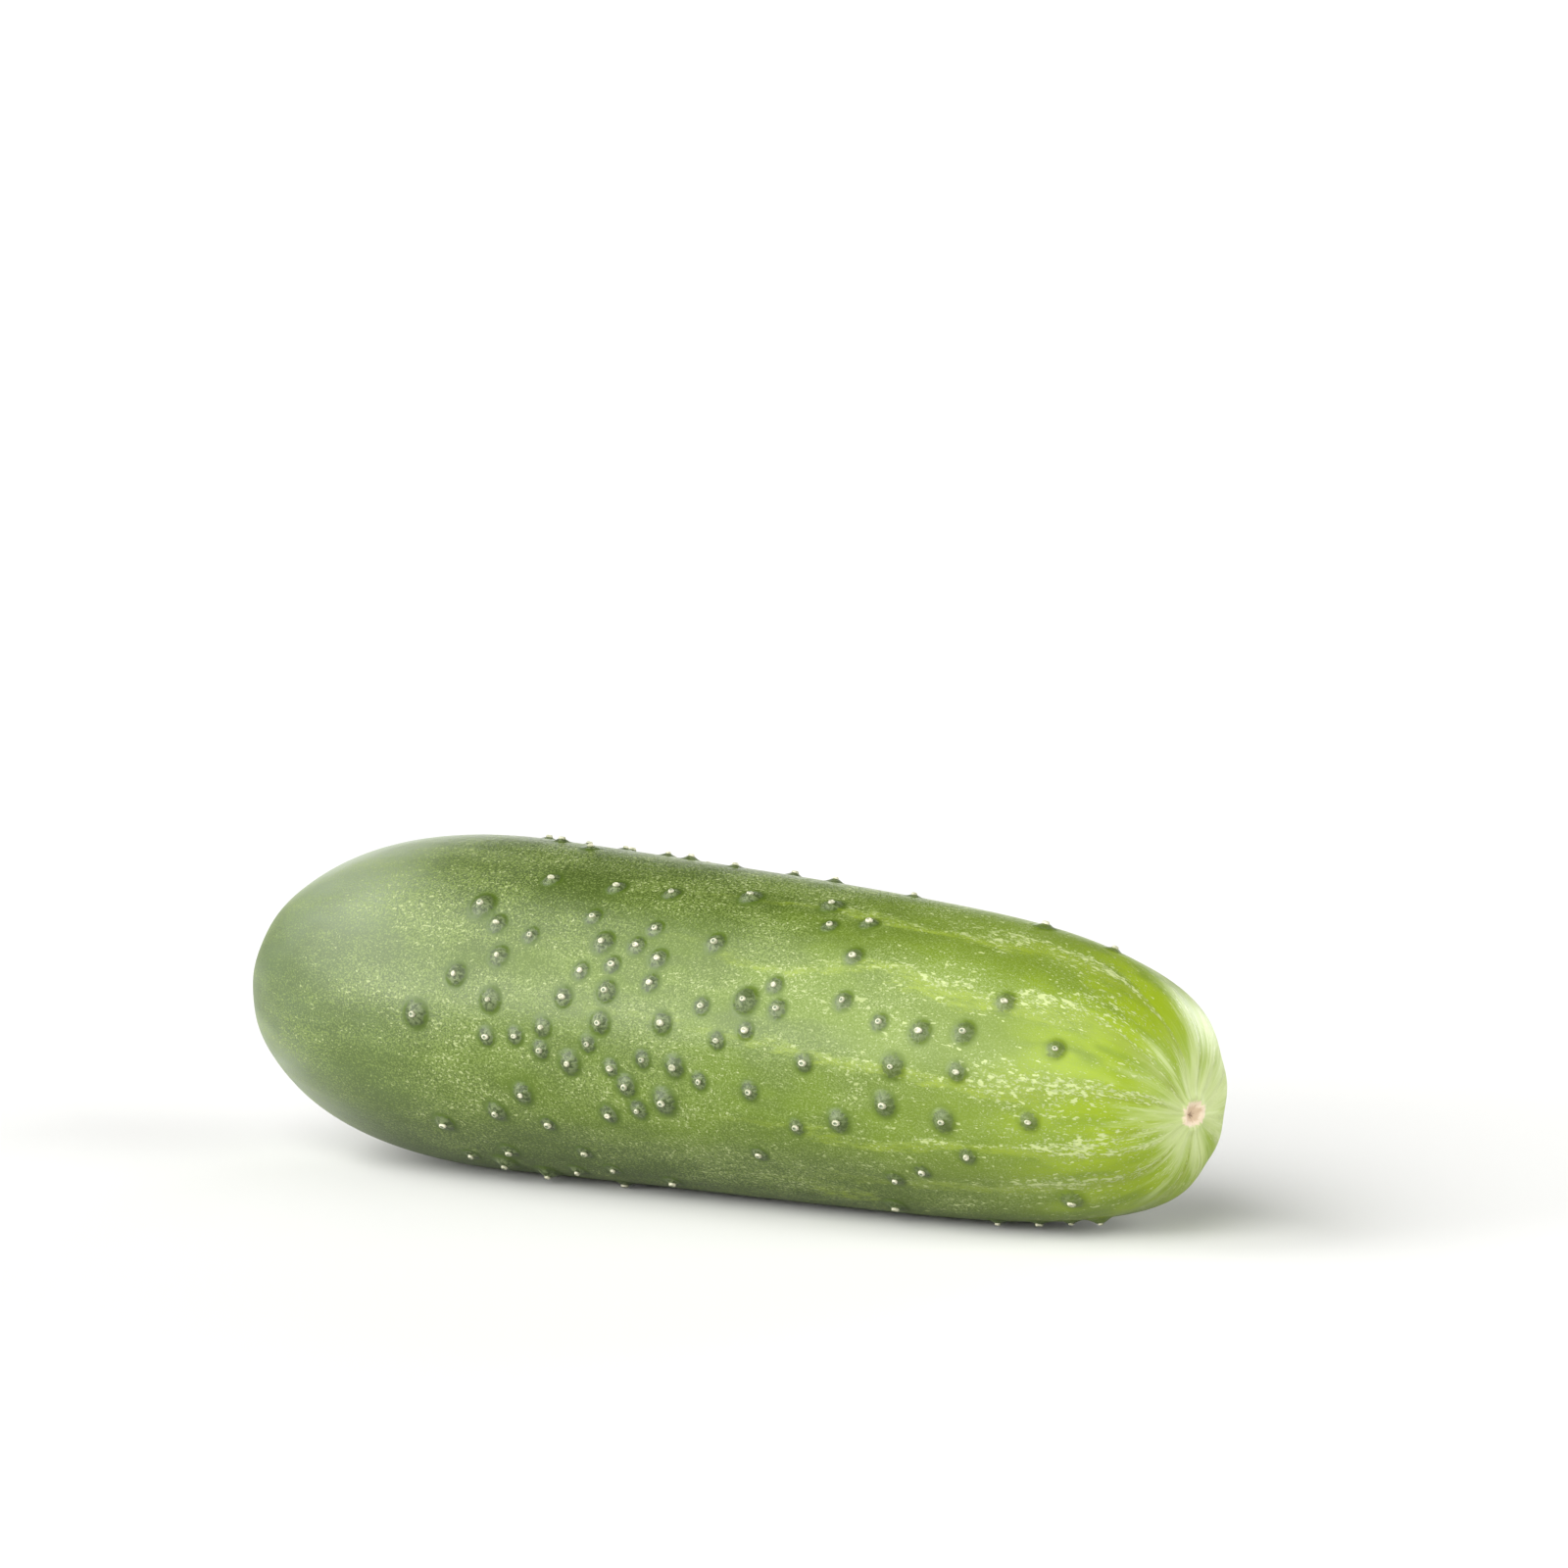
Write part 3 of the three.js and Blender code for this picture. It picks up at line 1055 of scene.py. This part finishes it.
@dataclass
class Cucumber:
    """The fruit: one skin with its ribs, warts and scars, and the spine bases on the warts.

    Lengths are in mm. A wart's shade reaches over a share of the wart's radius and a rim. The spine base's
    outline is given in its radii and heights, and its smallest and largest copies in its own sizes.
    """

    shape: Shape = field(default_factory=Shape)
    rule: WartRule = field(default_factory=WartRule)
    skin: CucumberSkin = field(default_factory=CucumberSkin)
    cork: SpineCork = field(default_factory=SpineCork)
    columns: int = 260
    body_step: float = 0.48
    tip_step: float = 0.15
    tip_zone: float = 8.0
    shade_share: float = 0.5
    shade_rim: float = 0.5
    spine_height: float = 0.18
    spine_radius: float = 0.37
    spine_segments: int = 10
    spine_outline: tuple[tuple[float, float], ...] = (
        (1.08, -1.1), (1.0, 0.2), (0.78, 0.85), (0.48, 0.85), (0.3, 0.45),
    )
    spine_smallest: Point = (0.85, 0.75, 0.8)
    spine_largest: Point = (1.45, 1.1, 1.1)
    spine_seed: int = 5
    middle: Vector = field(default_factory=Vector)

    def stations(self) -> tuple[list[float], list[float]]:
        """Gives the stations along the fruit, close together at the tips.

        Returns:
            The turn of each station, and the length of skin from the stem tip to it in mm.
        """
        samples = 4000
        turns = [math.pi * i / samples for i in range(samples + 1)]
        paths = [0.0]
        last_x, last_r = 0.0, 0.0
        for turn in turns[1:]:
            distance = self.shape.distance_at(turn)
            radius = self.shape.section(distance)[0]
            paths.append(paths[-1] + math.hypot(distance - last_x, radius - last_r))
            last_x, last_r = distance, radius
        whole = paths[-1]
        chosen, lengths = [0.0], [0.0]
        i = 0
        while True:
            inwards = min(lengths[-1], whole - lengths[-1])
            step = self.tip_step + (self.body_step - self.tip_step) * min(1.0, inwards / self.tip_zone)
            target = lengths[-1] + step
            if target > whole - 0.5 * self.tip_step:
                break
            while paths[i + 1] < target:
                i += 1
            part = (target - paths[i]) / (paths[i + 1] - paths[i])
            chosen.append(turns[i] + part * (turns[i + 1] - turns[i]))
            lengths.append(target)
        return chosen + [math.pi], lengths + [whole]

    def roll_tree(self, inputs: list[TreeInput]) -> Tree:
        """Builds the tree that rolls the line of stations into the fruit's skin.

        Args:
            inputs: The tree's named inputs.

        Returns:
            The tree.
        """
        tree, given = new_tree("roll_cucumber_skin", inputs)
        value = given.outputs
        count = add(tree, "GeometryNodeAttributeDomainSize", {0: value["Geometry"]}, component="MESH")
        rows = count.outputs["Point Count"]
        columns = add(tree, MATH, {0: value["Columns"], 1: 1.0}, operation="ADD")
        grid = add(
            tree, "GeometryNodeMeshGrid",
            {"Size X": 1.0, "Size Y": 1.0, "Vertices X": rows, "Vertices Y": columns},
        )
        flat = add(tree, "ShaderNodeSeparateXYZ", {0: add(tree, "GeometryNodeInputPosition")})
        row_share = add(tree, MATH, {0: flat.outputs["X"], 1: 0.5}, operation="ADD")
        last_row = add(tree, MATH, {0: rows, 1: 1.0}, operation="SUBTRACT")
        row = add(tree, MATH, {0: row_share, 1: last_row}, operation="MULTIPLY")
        row = add(tree, MATH, {0: row}, operation="ROUND")
        turned = add(tree, MATH, {0: flat.outputs["Y"], 1: 0.5}, operation="ADD")
        angle = add(tree, MATH, {0: turned, 1: 2 * math.pi}, operation="MULTIPLY")
        cosine = add(tree, MATH, {0: angle}, operation="COSINE")
        sine = add(tree, MATH, {0: angle}, operation="SINE")
        stations = value["Geometry"]
        radius, share, path = [point_value(tree, stations, row, key) for key in ("radius", "share", "path")]
        middle = point_value(tree, stations, row, "position", "FLOAT_VECTOR")

        from_lobe = add(tree, MATH, {0: angle, 1: value["Lobe angle"]}, operation="SUBTRACT")
        waves = []
        for number in ("Lobes", "Ribs"):
            phase = add(tree, MATH, {0: from_lobe, 1: value[number]}, operation="MULTIPLY")
            waves.append(add(tree, MATH, {0: phase}, operation="COSINE"))
        lobe = add(tree, MATH, {0: radius, 1: value["Lobe depth"]}, operation="MULTIPLY")
        lobe = add(tree, MATH, {0: lobe, 1: waves[0]}, operation="MULTIPLY")
        ribs = {"To Min": value["Rib height at stem"], "To Max": value["Rib height"]}
        rib = add(tree, "ShaderNodeMapRange", {"Value": share, **ribs})
        rib = add(tree, MATH, {0: rib, 1: waves[1], 2: lobe}, operation="MULTIPLY_ADD")
        fade = add(tree, MATH, {0: radius, 1: value["Rib fade radius"]}, operation="DIVIDE")
        fade = add(tree, MATH, {0: fade, 1: 1.0}, operation="MINIMUM")
        reach = add(tree, MATH, {0: rib, 1: fade, 2: radius}, operation="MULTIPLY_ADD")
        across = add(tree, "ShaderNodeCombineXYZ", {"Y": cosine, "Z": sine})
        spoke = add(tree, VECTOR, {0: across, "Scale": reach}, operation="SCALE")
        surface = add(tree, VECTOR, {0: middle, 1: spoke}, operation="ADD")

        girth = add(tree, VECTOR, {0: across, "Scale": value["Body radius"]}, operation="SCALE")
        length = add(tree, "ShaderNodeCombineXYZ", {"X": path})
        rolled = add(tree, VECTOR, {0: girth, 1: length}, operation="ADD")
        mapped = add(
            tree, "GeometryNodeStoreNamedAttribute",
            {"Geometry": grid.outputs["Mesh"], "Name": "OFBake", "Value": grid.outputs["UV Map"]},
            data_type="FLOAT2", domain="CORNER",
        )
        marked = add(
            tree, "GeometryNodeStoreNamedAttribute",
            {"Geometry": mapped, "Name": Lane.ROLLED.value, "Value": rolled}, data_type="FLOAT_VECTOR",
        )
        tube = add(tree, "GeometryNodeSetPosition", {"Geometry": marked, "Position": surface})
        closed = add(tree, "GeometryNodeMergeByDistance", {"Geometry": tube, "Distance": WELD})
        outside = add(tree, "GeometryNodeFlipFaces", {"Mesh": closed})

        raised = self._wart_loop(tree, outside.outputs[0], value)
        lift = add(tree, "GeometryNodeInputNamedAttribute", {"Name": Lane.RELIEF.value}, data_type="FLOAT")
        lift = self._scar_relief(tree, lift.outputs[0], value)
        offset = add(
            tree, VECTOR, {0: add(tree, "GeometryNodeInputNormal"), "Scale": lift}, operation="SCALE",
        )
        relief = add(tree, "GeometryNodeSetPosition", {"Geometry": raised, "Offset": offset})
        tilt = add(tree, "ShaderNodeCombineXYZ", {"Y": value["Rest pitch"]})
        laid = add(tree, "GeometryNodeTransform", {"Geometry": relief, "Rotation": tilt})
        now = add(tree, "ShaderNodeSeparateXYZ", {0: add(tree, "GeometryNodeInputPosition")})
        level = add(tree, MATH, {0: now.outputs["Z"], 1: value["Rest level"]}, operation="SUBTRACT")
        level = add(tree, MATH, {0: level, 1: 0.0}, operation="MAXIMUM")
        rested = add(
            tree, "ShaderNodeCombineXYZ", {"X": now.outputs["X"], "Y": now.outputs["Y"], "Z": level},
        )
        standing = add(tree, "GeometryNodeSetPosition", {"Geometry": laid, "Position": rested})
        finish_tree(tree, standing.outputs[0], value["Material"])
        return tree

    def _wart_loop(self, tree: Tree, geometry: Socket, value: bpy.types.NodeOutputs) -> Socket:
        """Marks the height of the warts on the skin, one wart at a time.

        Args:
            tree: The tree.
            geometry: The smooth skin.
            value: The tree's inputs.

        Returns:
            The skin with the warts' height and the distance to the nearest as attributes.
        """
        ready = geometry
        far = 9.0
        for lane, start in ((Lane.RELIEF, 0.0), (Lane.NEAR, far)):
            ready = add(
                tree, "GeometryNodeStoreNamedAttribute",
                {"Geometry": ready, "Name": lane.value, "Value": start}, data_type="FLOAT",
            ).outputs[0]
        info = add(tree, "GeometryNodeObjectInfo", {"Object": value["Warts"]}, transform_space="ORIGINAL")
        size = add(tree, "GeometryNodeAttributeDomainSize", {0: info.outputs["Geometry"]}, component="MESH")
        begin = tree.nodes.new("GeometryNodeRepeatInput")
        end = tree.nodes.new("GeometryNodeRepeatOutput")
        begin.pair_with_output(end)
        if not end.repeat_items:
            end.repeat_items.new("GEOMETRY", "Geometry")
        tree.links.new(size.outputs["Point Count"], begin.inputs["Iterations"])
        tree.links.new(ready, begin.inputs["Geometry"])
        turn = begin.outputs["Iteration"]
        warts = info.outputs["Geometry"]
        radius, top = [point_value(tree, warts, turn, key) for key in ("radius", "height")]
        middle = point_value(tree, warts, turn, "position", "FLOAT_VECTOR")
        here = add(tree, "GeometryNodeInputPosition")
        distance = add(tree, VECTOR, {0: here, 1: middle}, operation="DISTANCE")
        near = add(tree, MATH, {0: distance.outputs["Value"], 1: radius}, operation="DIVIDE")
        share, rim = value["Shade share"], value["Shade rim"]
        reach = add(tree, MATH, {0: radius, 1: share, 2: rim}, operation="MULTIPLY_ADD")
        shade = add(tree, MATH, {0: distance.outputs["Value"], 1: reach}, operation="DIVIDE")
        inside = add(tree, MATH, {0: near, 1: 1.0}, operation="MINIMUM")
        phase = add(tree, MATH, {0: inside, 1: math.pi}, operation="MULTIPLY")
        wave = add(tree, MATH, {0: phase}, operation="COSINE")
        half = add(tree, MATH, {0: wave, 1: 0.5, 2: 0.5}, operation="MULTIPLY_ADD")
        height = add(tree, MATH, {0: top, 1: value["Spine height"]}, operation="SUBTRACT")
        hill = add(tree, MATH, {0: half, 1: height}, operation="MULTIPLY")
        step = begin.outputs["Geometry"]
        for lane, fresh, operation in ((Lane.RELIEF, hill, "MAXIMUM"), (Lane.NEAR, shade, "MINIMUM")):
            known = add(tree, "GeometryNodeInputNamedAttribute", {"Name": lane.value}, data_type="FLOAT")
            kept = add(tree, MATH, {0: known, 1: fresh}, operation=operation)
            step = add(
                tree, "GeometryNodeStoreNamedAttribute",
                {"Geometry": step, "Name": lane.value, "Value": kept}, data_type="FLOAT",
            ).outputs[0]
        tree.links.new(step, end.inputs["Geometry"])
        return end.outputs["Geometry"]

    def _scar_relief(self, tree: Tree, lift: Socket, value: bpy.types.NodeOutputs) -> Socket:
        """Adds pit, rim and creases of both scars to the skin's relief.

        Args:
            tree: The tree.
            lift: The relief so far.
            value: The tree's inputs.

        Returns:
            The relief with both scars.
        """
        rolled = add(
            tree, "GeometryNodeInputNamedAttribute", {"Name": Lane.ROLLED.value}, data_type="FLOAT_VECTOR",
        )
        parts = add(tree, "ShaderNodeSeparateXYZ", {0: rolled})
        angle = add(tree, MATH, {0: parts.outputs["Z"], 1: parts.outputs["Y"]}, operation="ARCTAN2")
        path = parts.outputs["X"]
        back = add(tree, MATH, {0: value["Whole path"], 1: path}, operation="SUBTRACT").outputs[0]
        for length, scar in ((path, self.shape.stem_scar), (back, self.shape.flower_scar)):
            bells = []
            for top, centre, width in (
                (-scar.pit, 0.0, scar.pit_width * scar.radius),
                (scar.rim, scar.radius, scar.rim_width * scar.radius),
                (-scar.crease_depth, scar.crease_reach, scar.crease_width * scar.crease_reach),
            ):
                away = add(tree, MATH, {0: length, 1: centre * MM}, operation="SUBTRACT")
                away = add(tree, MATH, {0: away, 1: width * MM}, operation="DIVIDE")
                square = add(tree, MATH, {0: away, 1: away}, operation="MULTIPLY")
                power = add(tree, MATH, {0: square, 1: -1.0}, operation="MULTIPLY")
                bell = add(tree, MATH, {0: power}, operation="EXPONENT")
                bells.append(add(tree, MATH, {0: bell, 1: top * MM}, operation="MULTIPLY"))
            around = add(tree, MATH, {0: angle, 1: float(scar.creases)}, operation="MULTIPLY")
            around = add(tree, MATH, {0: around}, operation="COSINE")
            around = add(tree, MATH, {0: around, 1: 0.5, 2: 0.5}, operation="MULTIPLY_ADD")
            bells[2] = add(tree, MATH, {0: bells[2], 1: around}, operation="MULTIPLY")
            for bell in bells:
                lift = add(tree, MATH, {0: lift, 1: bell}, operation="ADD").outputs[0]
        return lift

    def spine_tree(self, inputs: list[TreeInput]) -> Tree:
        """Builds the tree that sets a spine base on each wart.

        Args:
            inputs: The tree's named inputs.

        Returns:
            The tree.
        """
        tree, given = new_tree("set_spine_bases", inputs)
        value = given.outputs
        outward = add(tree, "GeometryNodeInputNamedAttribute", {"Name": "outward"}, data_type="FLOAT_VECTOR")
        height = add(tree, "GeometryNodeInputNamedAttribute", {"Name": "height"}, data_type="FLOAT")
        lift = add(tree, MATH, {0: height, 1: value["Spine height"]}, operation="SUBTRACT")
        offset = add(tree, VECTOR, {0: outward, "Scale": lift}, operation="SCALE")
        tips = add(tree, "GeometryNodeSetPosition", {"Geometry": value["Geometry"], "Offset": offset})
        base = add(
            tree, "GeometryNodeObjectInfo", {"Object": value["Spine base"]}, transform_space="ORIGINAL",
        )
        turn = add(tree, "FunctionNodeAlignRotationToVector", {"Vector": outward}, axis="Z")
        sizes = {"Min": value["Smallest base"], "Max": value["Largest base"], "Seed": value["Seed"]}
        size = add(tree, "FunctionNodeRandomValue", sizes, data_type="FLOAT_VECTOR")
        copies = add(
            tree, "GeometryNodeInstanceOnPoints",
            {"Points": tips, "Instance": base.outputs["Geometry"], "Rotation": turn, "Scale": size},
        )
        age = add(tree, "FunctionNodeRandomValue", {"Seed": value["Seed"]}, data_type="FLOAT")
        aged = add(
            tree, "GeometryNodeStoreNamedAttribute",
            {"Geometry": copies, "Name": Lane.AGE.value, "Value": age}, data_type="FLOAT", domain="INSTANCE",
        )
        real = add(tree, "GeometryNodeRealizeInstances", {0: aged})
        tilt = add(tree, "ShaderNodeCombineXYZ", {"Y": value["Rest pitch"]})
        laid = add(tree, "GeometryNodeTransform", {"Geometry": real, "Rotation": tilt})
        level = add(tree, MATH, {0: value["Rest level"], 1: -1.0}, operation="MULTIPLY")
        drop = add(tree, "ShaderNodeCombineXYZ", {"Z": level})
        rested = add(tree, "GeometryNodeSetPosition", {"Geometry": laid, "Offset": drop})
        finish_tree(tree, rested.outputs[0], value["Material"])
        return tree

    def spine_base(self) -> bpy.types.Object:
        """Makes one spine base: a low round button with a dimple, its foot sunk in the wart.

        Returns:
            The base, upright at the origin.
        """
        segments, outline = self.spine_segments, self.spine_outline
        places, faces = [], []
        for radius, height in outline:
            for i in range(segments):
                way = 2 * math.pi * i / segments
                spot = Vector((radius * math.cos(way), radius * math.sin(way), 0)) * self.spine_radius * MM
                spot.z = height * self.spine_height * MM
                places.append(spot)
        for ring in range(len(outline) - 1):
            for i in range(segments):
                a, b = ring * segments + i, ring * segments + (i + 1) % segments
                faces.append((a, b, b + segments, a + segments))
        faces.append(tuple(range((len(outline) - 1) * segments, len(outline) * segments)))
        faces.append(tuple(reversed(range(segments))))
        mesh = bpy.data.meshes.new("spine_base")
        mesh.from_pydata(places, [], faces)
        rim = mesh.attributes.new(Lane.RIM.value, "FLOAT", "POINT")
        rim.data.foreach_set("value", [radius for radius, _ in outline for _ in range(segments)])
        thing = bpy.data.objects.new("spine_base", mesh)
        bpy.context.scene.collection.objects.link(thing)
        return thing

    def build(self) -> list[bpy.types.Object]:
        """Builds and dresses the fruit.

        Returns:
            The skin and the spine bases.
        """
        shape = self.shape
        turns, lengths = self.stations()
        whole = lengths[-1]
        sections = [(shape.distance_at(turn), *shape.section(shape.distance_at(turn))) for turn in turns]
        line = points_object(
            "stations",
            [Vector((d - shape.length / 2, y, z)) * MM for d, _, y, z in sections],
            {
                "radius": [r * MM for _, r, _, _ in sections],
                "share": [d / shape.length for d, _, _, _ in sections],
                "path": [length * MM for length in lengths],
            },
            [(i, i + 1) for i in range(len(turns) - 1)],
        )
        warts = self.rule.place(shape)
        places = [wart.middle * MM for wart in warts]
        sizes = {
            "radius": [wart.radius * MM for wart in warts],
            "height": [wart.height * MM for wart in warts],
            "outward": [wart.outward for wart in warts],
        }
        marks = points_object("warts", places, sizes)
        rest_level = (shape.lowest() + shape.rest_depth) * MM
        shared = [
            TreeInput("Rest pitch", "Float", shape.rest_pitch),
            TreeInput("Rest level", "Float", rest_level),
            TreeInput("Spine height", "Float", self.spine_height * MM),
        ]
        roll = shared + [
            TreeInput("Columns", "Int", self.columns),
            TreeInput("Lobes", "Float", float(shape.lobes)),
            TreeInput("Lobe depth", "Float", shape.lobe_depth),
            TreeInput("Lobe angle", "Float", shape.lobe_angle),
            TreeInput("Ribs", "Float", float(shape.ribs)),
            TreeInput("Rib height", "Float", shape.rib_height * MM),
            TreeInput("Rib height at stem", "Float", shape.rib_height_stem * MM),
            TreeInput("Rib fade radius", "Float", shape.rib_fade * shape.radius * MM),
            TreeInput("Body radius", "Float", shape.radius * MM),
            TreeInput("Whole path", "Float", whole * MM),
            TreeInput("Shade share", "Float", self.shade_share),
            TreeInput("Shade rim", "Float", self.shade_rim * MM),
            TreeInput("Warts", "Object", marks),
            TreeInput("Material", "Material", self.skin.material(shape, whole)),
        ]
        attach(line, self.roll_tree(roll), roll)
        skin = evaluated_piece(line, "skin")
        button = self.spine_base()
        set_bases = shared + [
            TreeInput("Spine base", "Object", button),
            TreeInput("Smallest base", "Vector", self.spine_smallest),
            TreeInput("Largest base", "Vector", self.spine_largest),
            TreeInput("Seed", "Int", self.spine_seed),
            TreeInput("Material", "Material", self.cork.material()),
        ]
        attach(marks, self.spine_tree(set_bases), set_bases)
        bases = evaluated_piece(marks, "spine_bases")
        bpy.data.objects.remove(button)
        self.middle = Vector((0, 0, -rest_level)) + self._centre([skin, bases])
        for piece in (skin, bases):
            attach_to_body(piece, BODY)
        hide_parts(NODE)
        return [skin, bases]

    def _centre(self, pieces: list[bpy.types.Object]) -> Vector:
        """Moves the pieces' meshes so that the skin's box stands where the solid's does.

        Args:
            pieces: The skin, and what moves with it.

        Returns:
            How far they moved.
        """
        low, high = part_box(NODE)
        places = [vertex.co for vertex in pieces[0].data.vertices]
        middle = Vector(
            (max(p[i] for p in places) + min(p[i] for p in places)) / 2 for i in range(2)
        ).to_3d()
        shift = ((low + high) / 2 - middle) * Vector((1, 1, 0))
        for piece in pieces:
            piece.data.transform(Matrix.Translation(shift))
        return shift


@dataclass(frozen=True)
class SoftLight:
    """A large far soft light, in degrees. Azimuth 0 stands in front, on the side of -Y."""

    name: str
    azimuth: float
    elevation: float
    spread: float
    strength: float


@dataclass
class Studio:
    """The pale floor, the soft light and the camera at the photograph's viewing angle."""

    paper: SweepPaper = field(default_factory=SweepPaper)
    floor_size: float = 6.0
    sky: float = 0.15
    lights: tuple[SoftLight, ...] = (
        SoftLight("softbox_left", -66, 36, 46, 2.7),
        SoftLight("softbox_front", 4, 37, 56, 3.5),
        SoftLight("strip_low", -40, 7, 30, 3.2),
        SoftLight("fill_right", 96, 17, 50, 3.2),
        SoftLight("rim_left", -142, 4, 24, 0.5),
        SoftLight("rim_right", 178, 8, 32, 2.0),
    )
    image_width: int = 1600
    pixels_per_mm: float = 8.301
    camera_distance: float = 1.2
    azimuth: float = 36.19
    elevation: float = 9.75
    roll: float = 1.4
    middle_px: tuple[float, float] = (741.8, 1058.3)
    sensor_mm: float = 36.0

    def build(self, target: Vector) -> None:
        """Builds the floor, the lights and the camera.

        Args:
            target: The middle of the fruit's axis.
        """
        self._floor()
        self._light(target)
        self._camera(target)

    def _direction(self, azimuth: float, elevation: float) -> Vector:
        """Direction from the fruit to a viewer or a light, for angles in degrees."""
        a, e = math.radians(azimuth), math.radians(elevation)
        return Vector((math.sin(a) * math.cos(e), -math.cos(a) * math.cos(e), math.sin(e)))

    def _floor(self) -> None:
        """Lays the floor."""
        half = self.floor_size / 2
        mesh = bpy.data.meshes.new("floor")
        corners = [(-half, -half, 0), (half, -half, 0), (half, half, 0), (-half, half, 0)]
        mesh.from_pydata(corners, [], [(0, 1, 2, 3)])
        mesh.materials.append(self.paper.material())
        floor = bpy.data.objects.new("floor", mesh)
        bpy.context.scene.collection.objects.link(floor)

    def _light(self, target: Vector) -> None:
        """Sets the even sky and the soft lights.

        Args:
            target: What the lights look at.
        """
        world = bpy.data.worlds.new("studio_white")
        world.use_nodes = True
        background = world.node_tree.nodes["Background"]
        background.inputs["Color"].default_value = (1, 1, 1, 1)
        background.inputs["Strength"].default_value = self.sky
        bpy.context.scene.world = world
        for soft in self.lights:
            lamp = bpy.data.lights.new(soft.name, "SUN")
            lamp.angle = math.radians(soft.spread)
            lamp.energy = soft.strength
            thing = bpy.data.objects.new(soft.name, lamp)
            way = self._direction(soft.azimuth, soft.elevation)
            thing.location = target + way
            thing.rotation_euler = way.to_track_quat("Z", "Y").to_euler()
            bpy.context.scene.collection.objects.link(thing)

    def _camera(self, target: Vector) -> None:
        """Sets the camera so that the fruit's middle falls where it does in the photograph.

        Args:
            target: The middle of the fruit's axis.
        """
        away = self._direction(self.azimuth, self.elevation)
        level = Vector((0, 0, 1)).cross(away).normalized()
        right = Matrix.Rotation(math.radians(-self.roll), 3, away) @ level
        up = away.cross(right)
        shift_x, shift_y = (
            (self.image_width / 2 - place) / self.pixels_per_mm * MM for place in self.middle_px
        )
        aim = target + right * shift_x - up * shift_y
        location = target + away * self.camera_distance
        back = (location - aim).normalized()
        side = up.cross(back).normalized()
        turn = Matrix((side, back.cross(side), back)).transposed()
        lens = bpy.data.cameras.new("camera")
        lens.sensor_width = self.sensor_mm
        focal_px = self.pixels_per_mm * self.camera_distance / MM
        lens.lens = focal_px / self.image_width * self.sensor_mm
        lens.clip_end = 20.0
        camera = bpy.data.objects.new("camera", lens)
        camera.matrix_world = Matrix.Translation(location) @ turn.to_4x4()
        bpy.context.scene.collection.objects.link(camera)
        bpy.context.scene.camera = camera


def main() -> None:
    """Builds the fruit and the studio."""
    logging.basicConfig(level=logging.INFO, format="%(message)s")
    cucumber = Cucumber()
    for piece in cucumber.build():
        log.info("%s: %d faces", piece.name, len(piece.data.polygons))
    Studio().build(cucumber.middle)
    bpy.context.scene.view_settings.view_transform = "Standard"


if __name__ == "__main__":
    main()
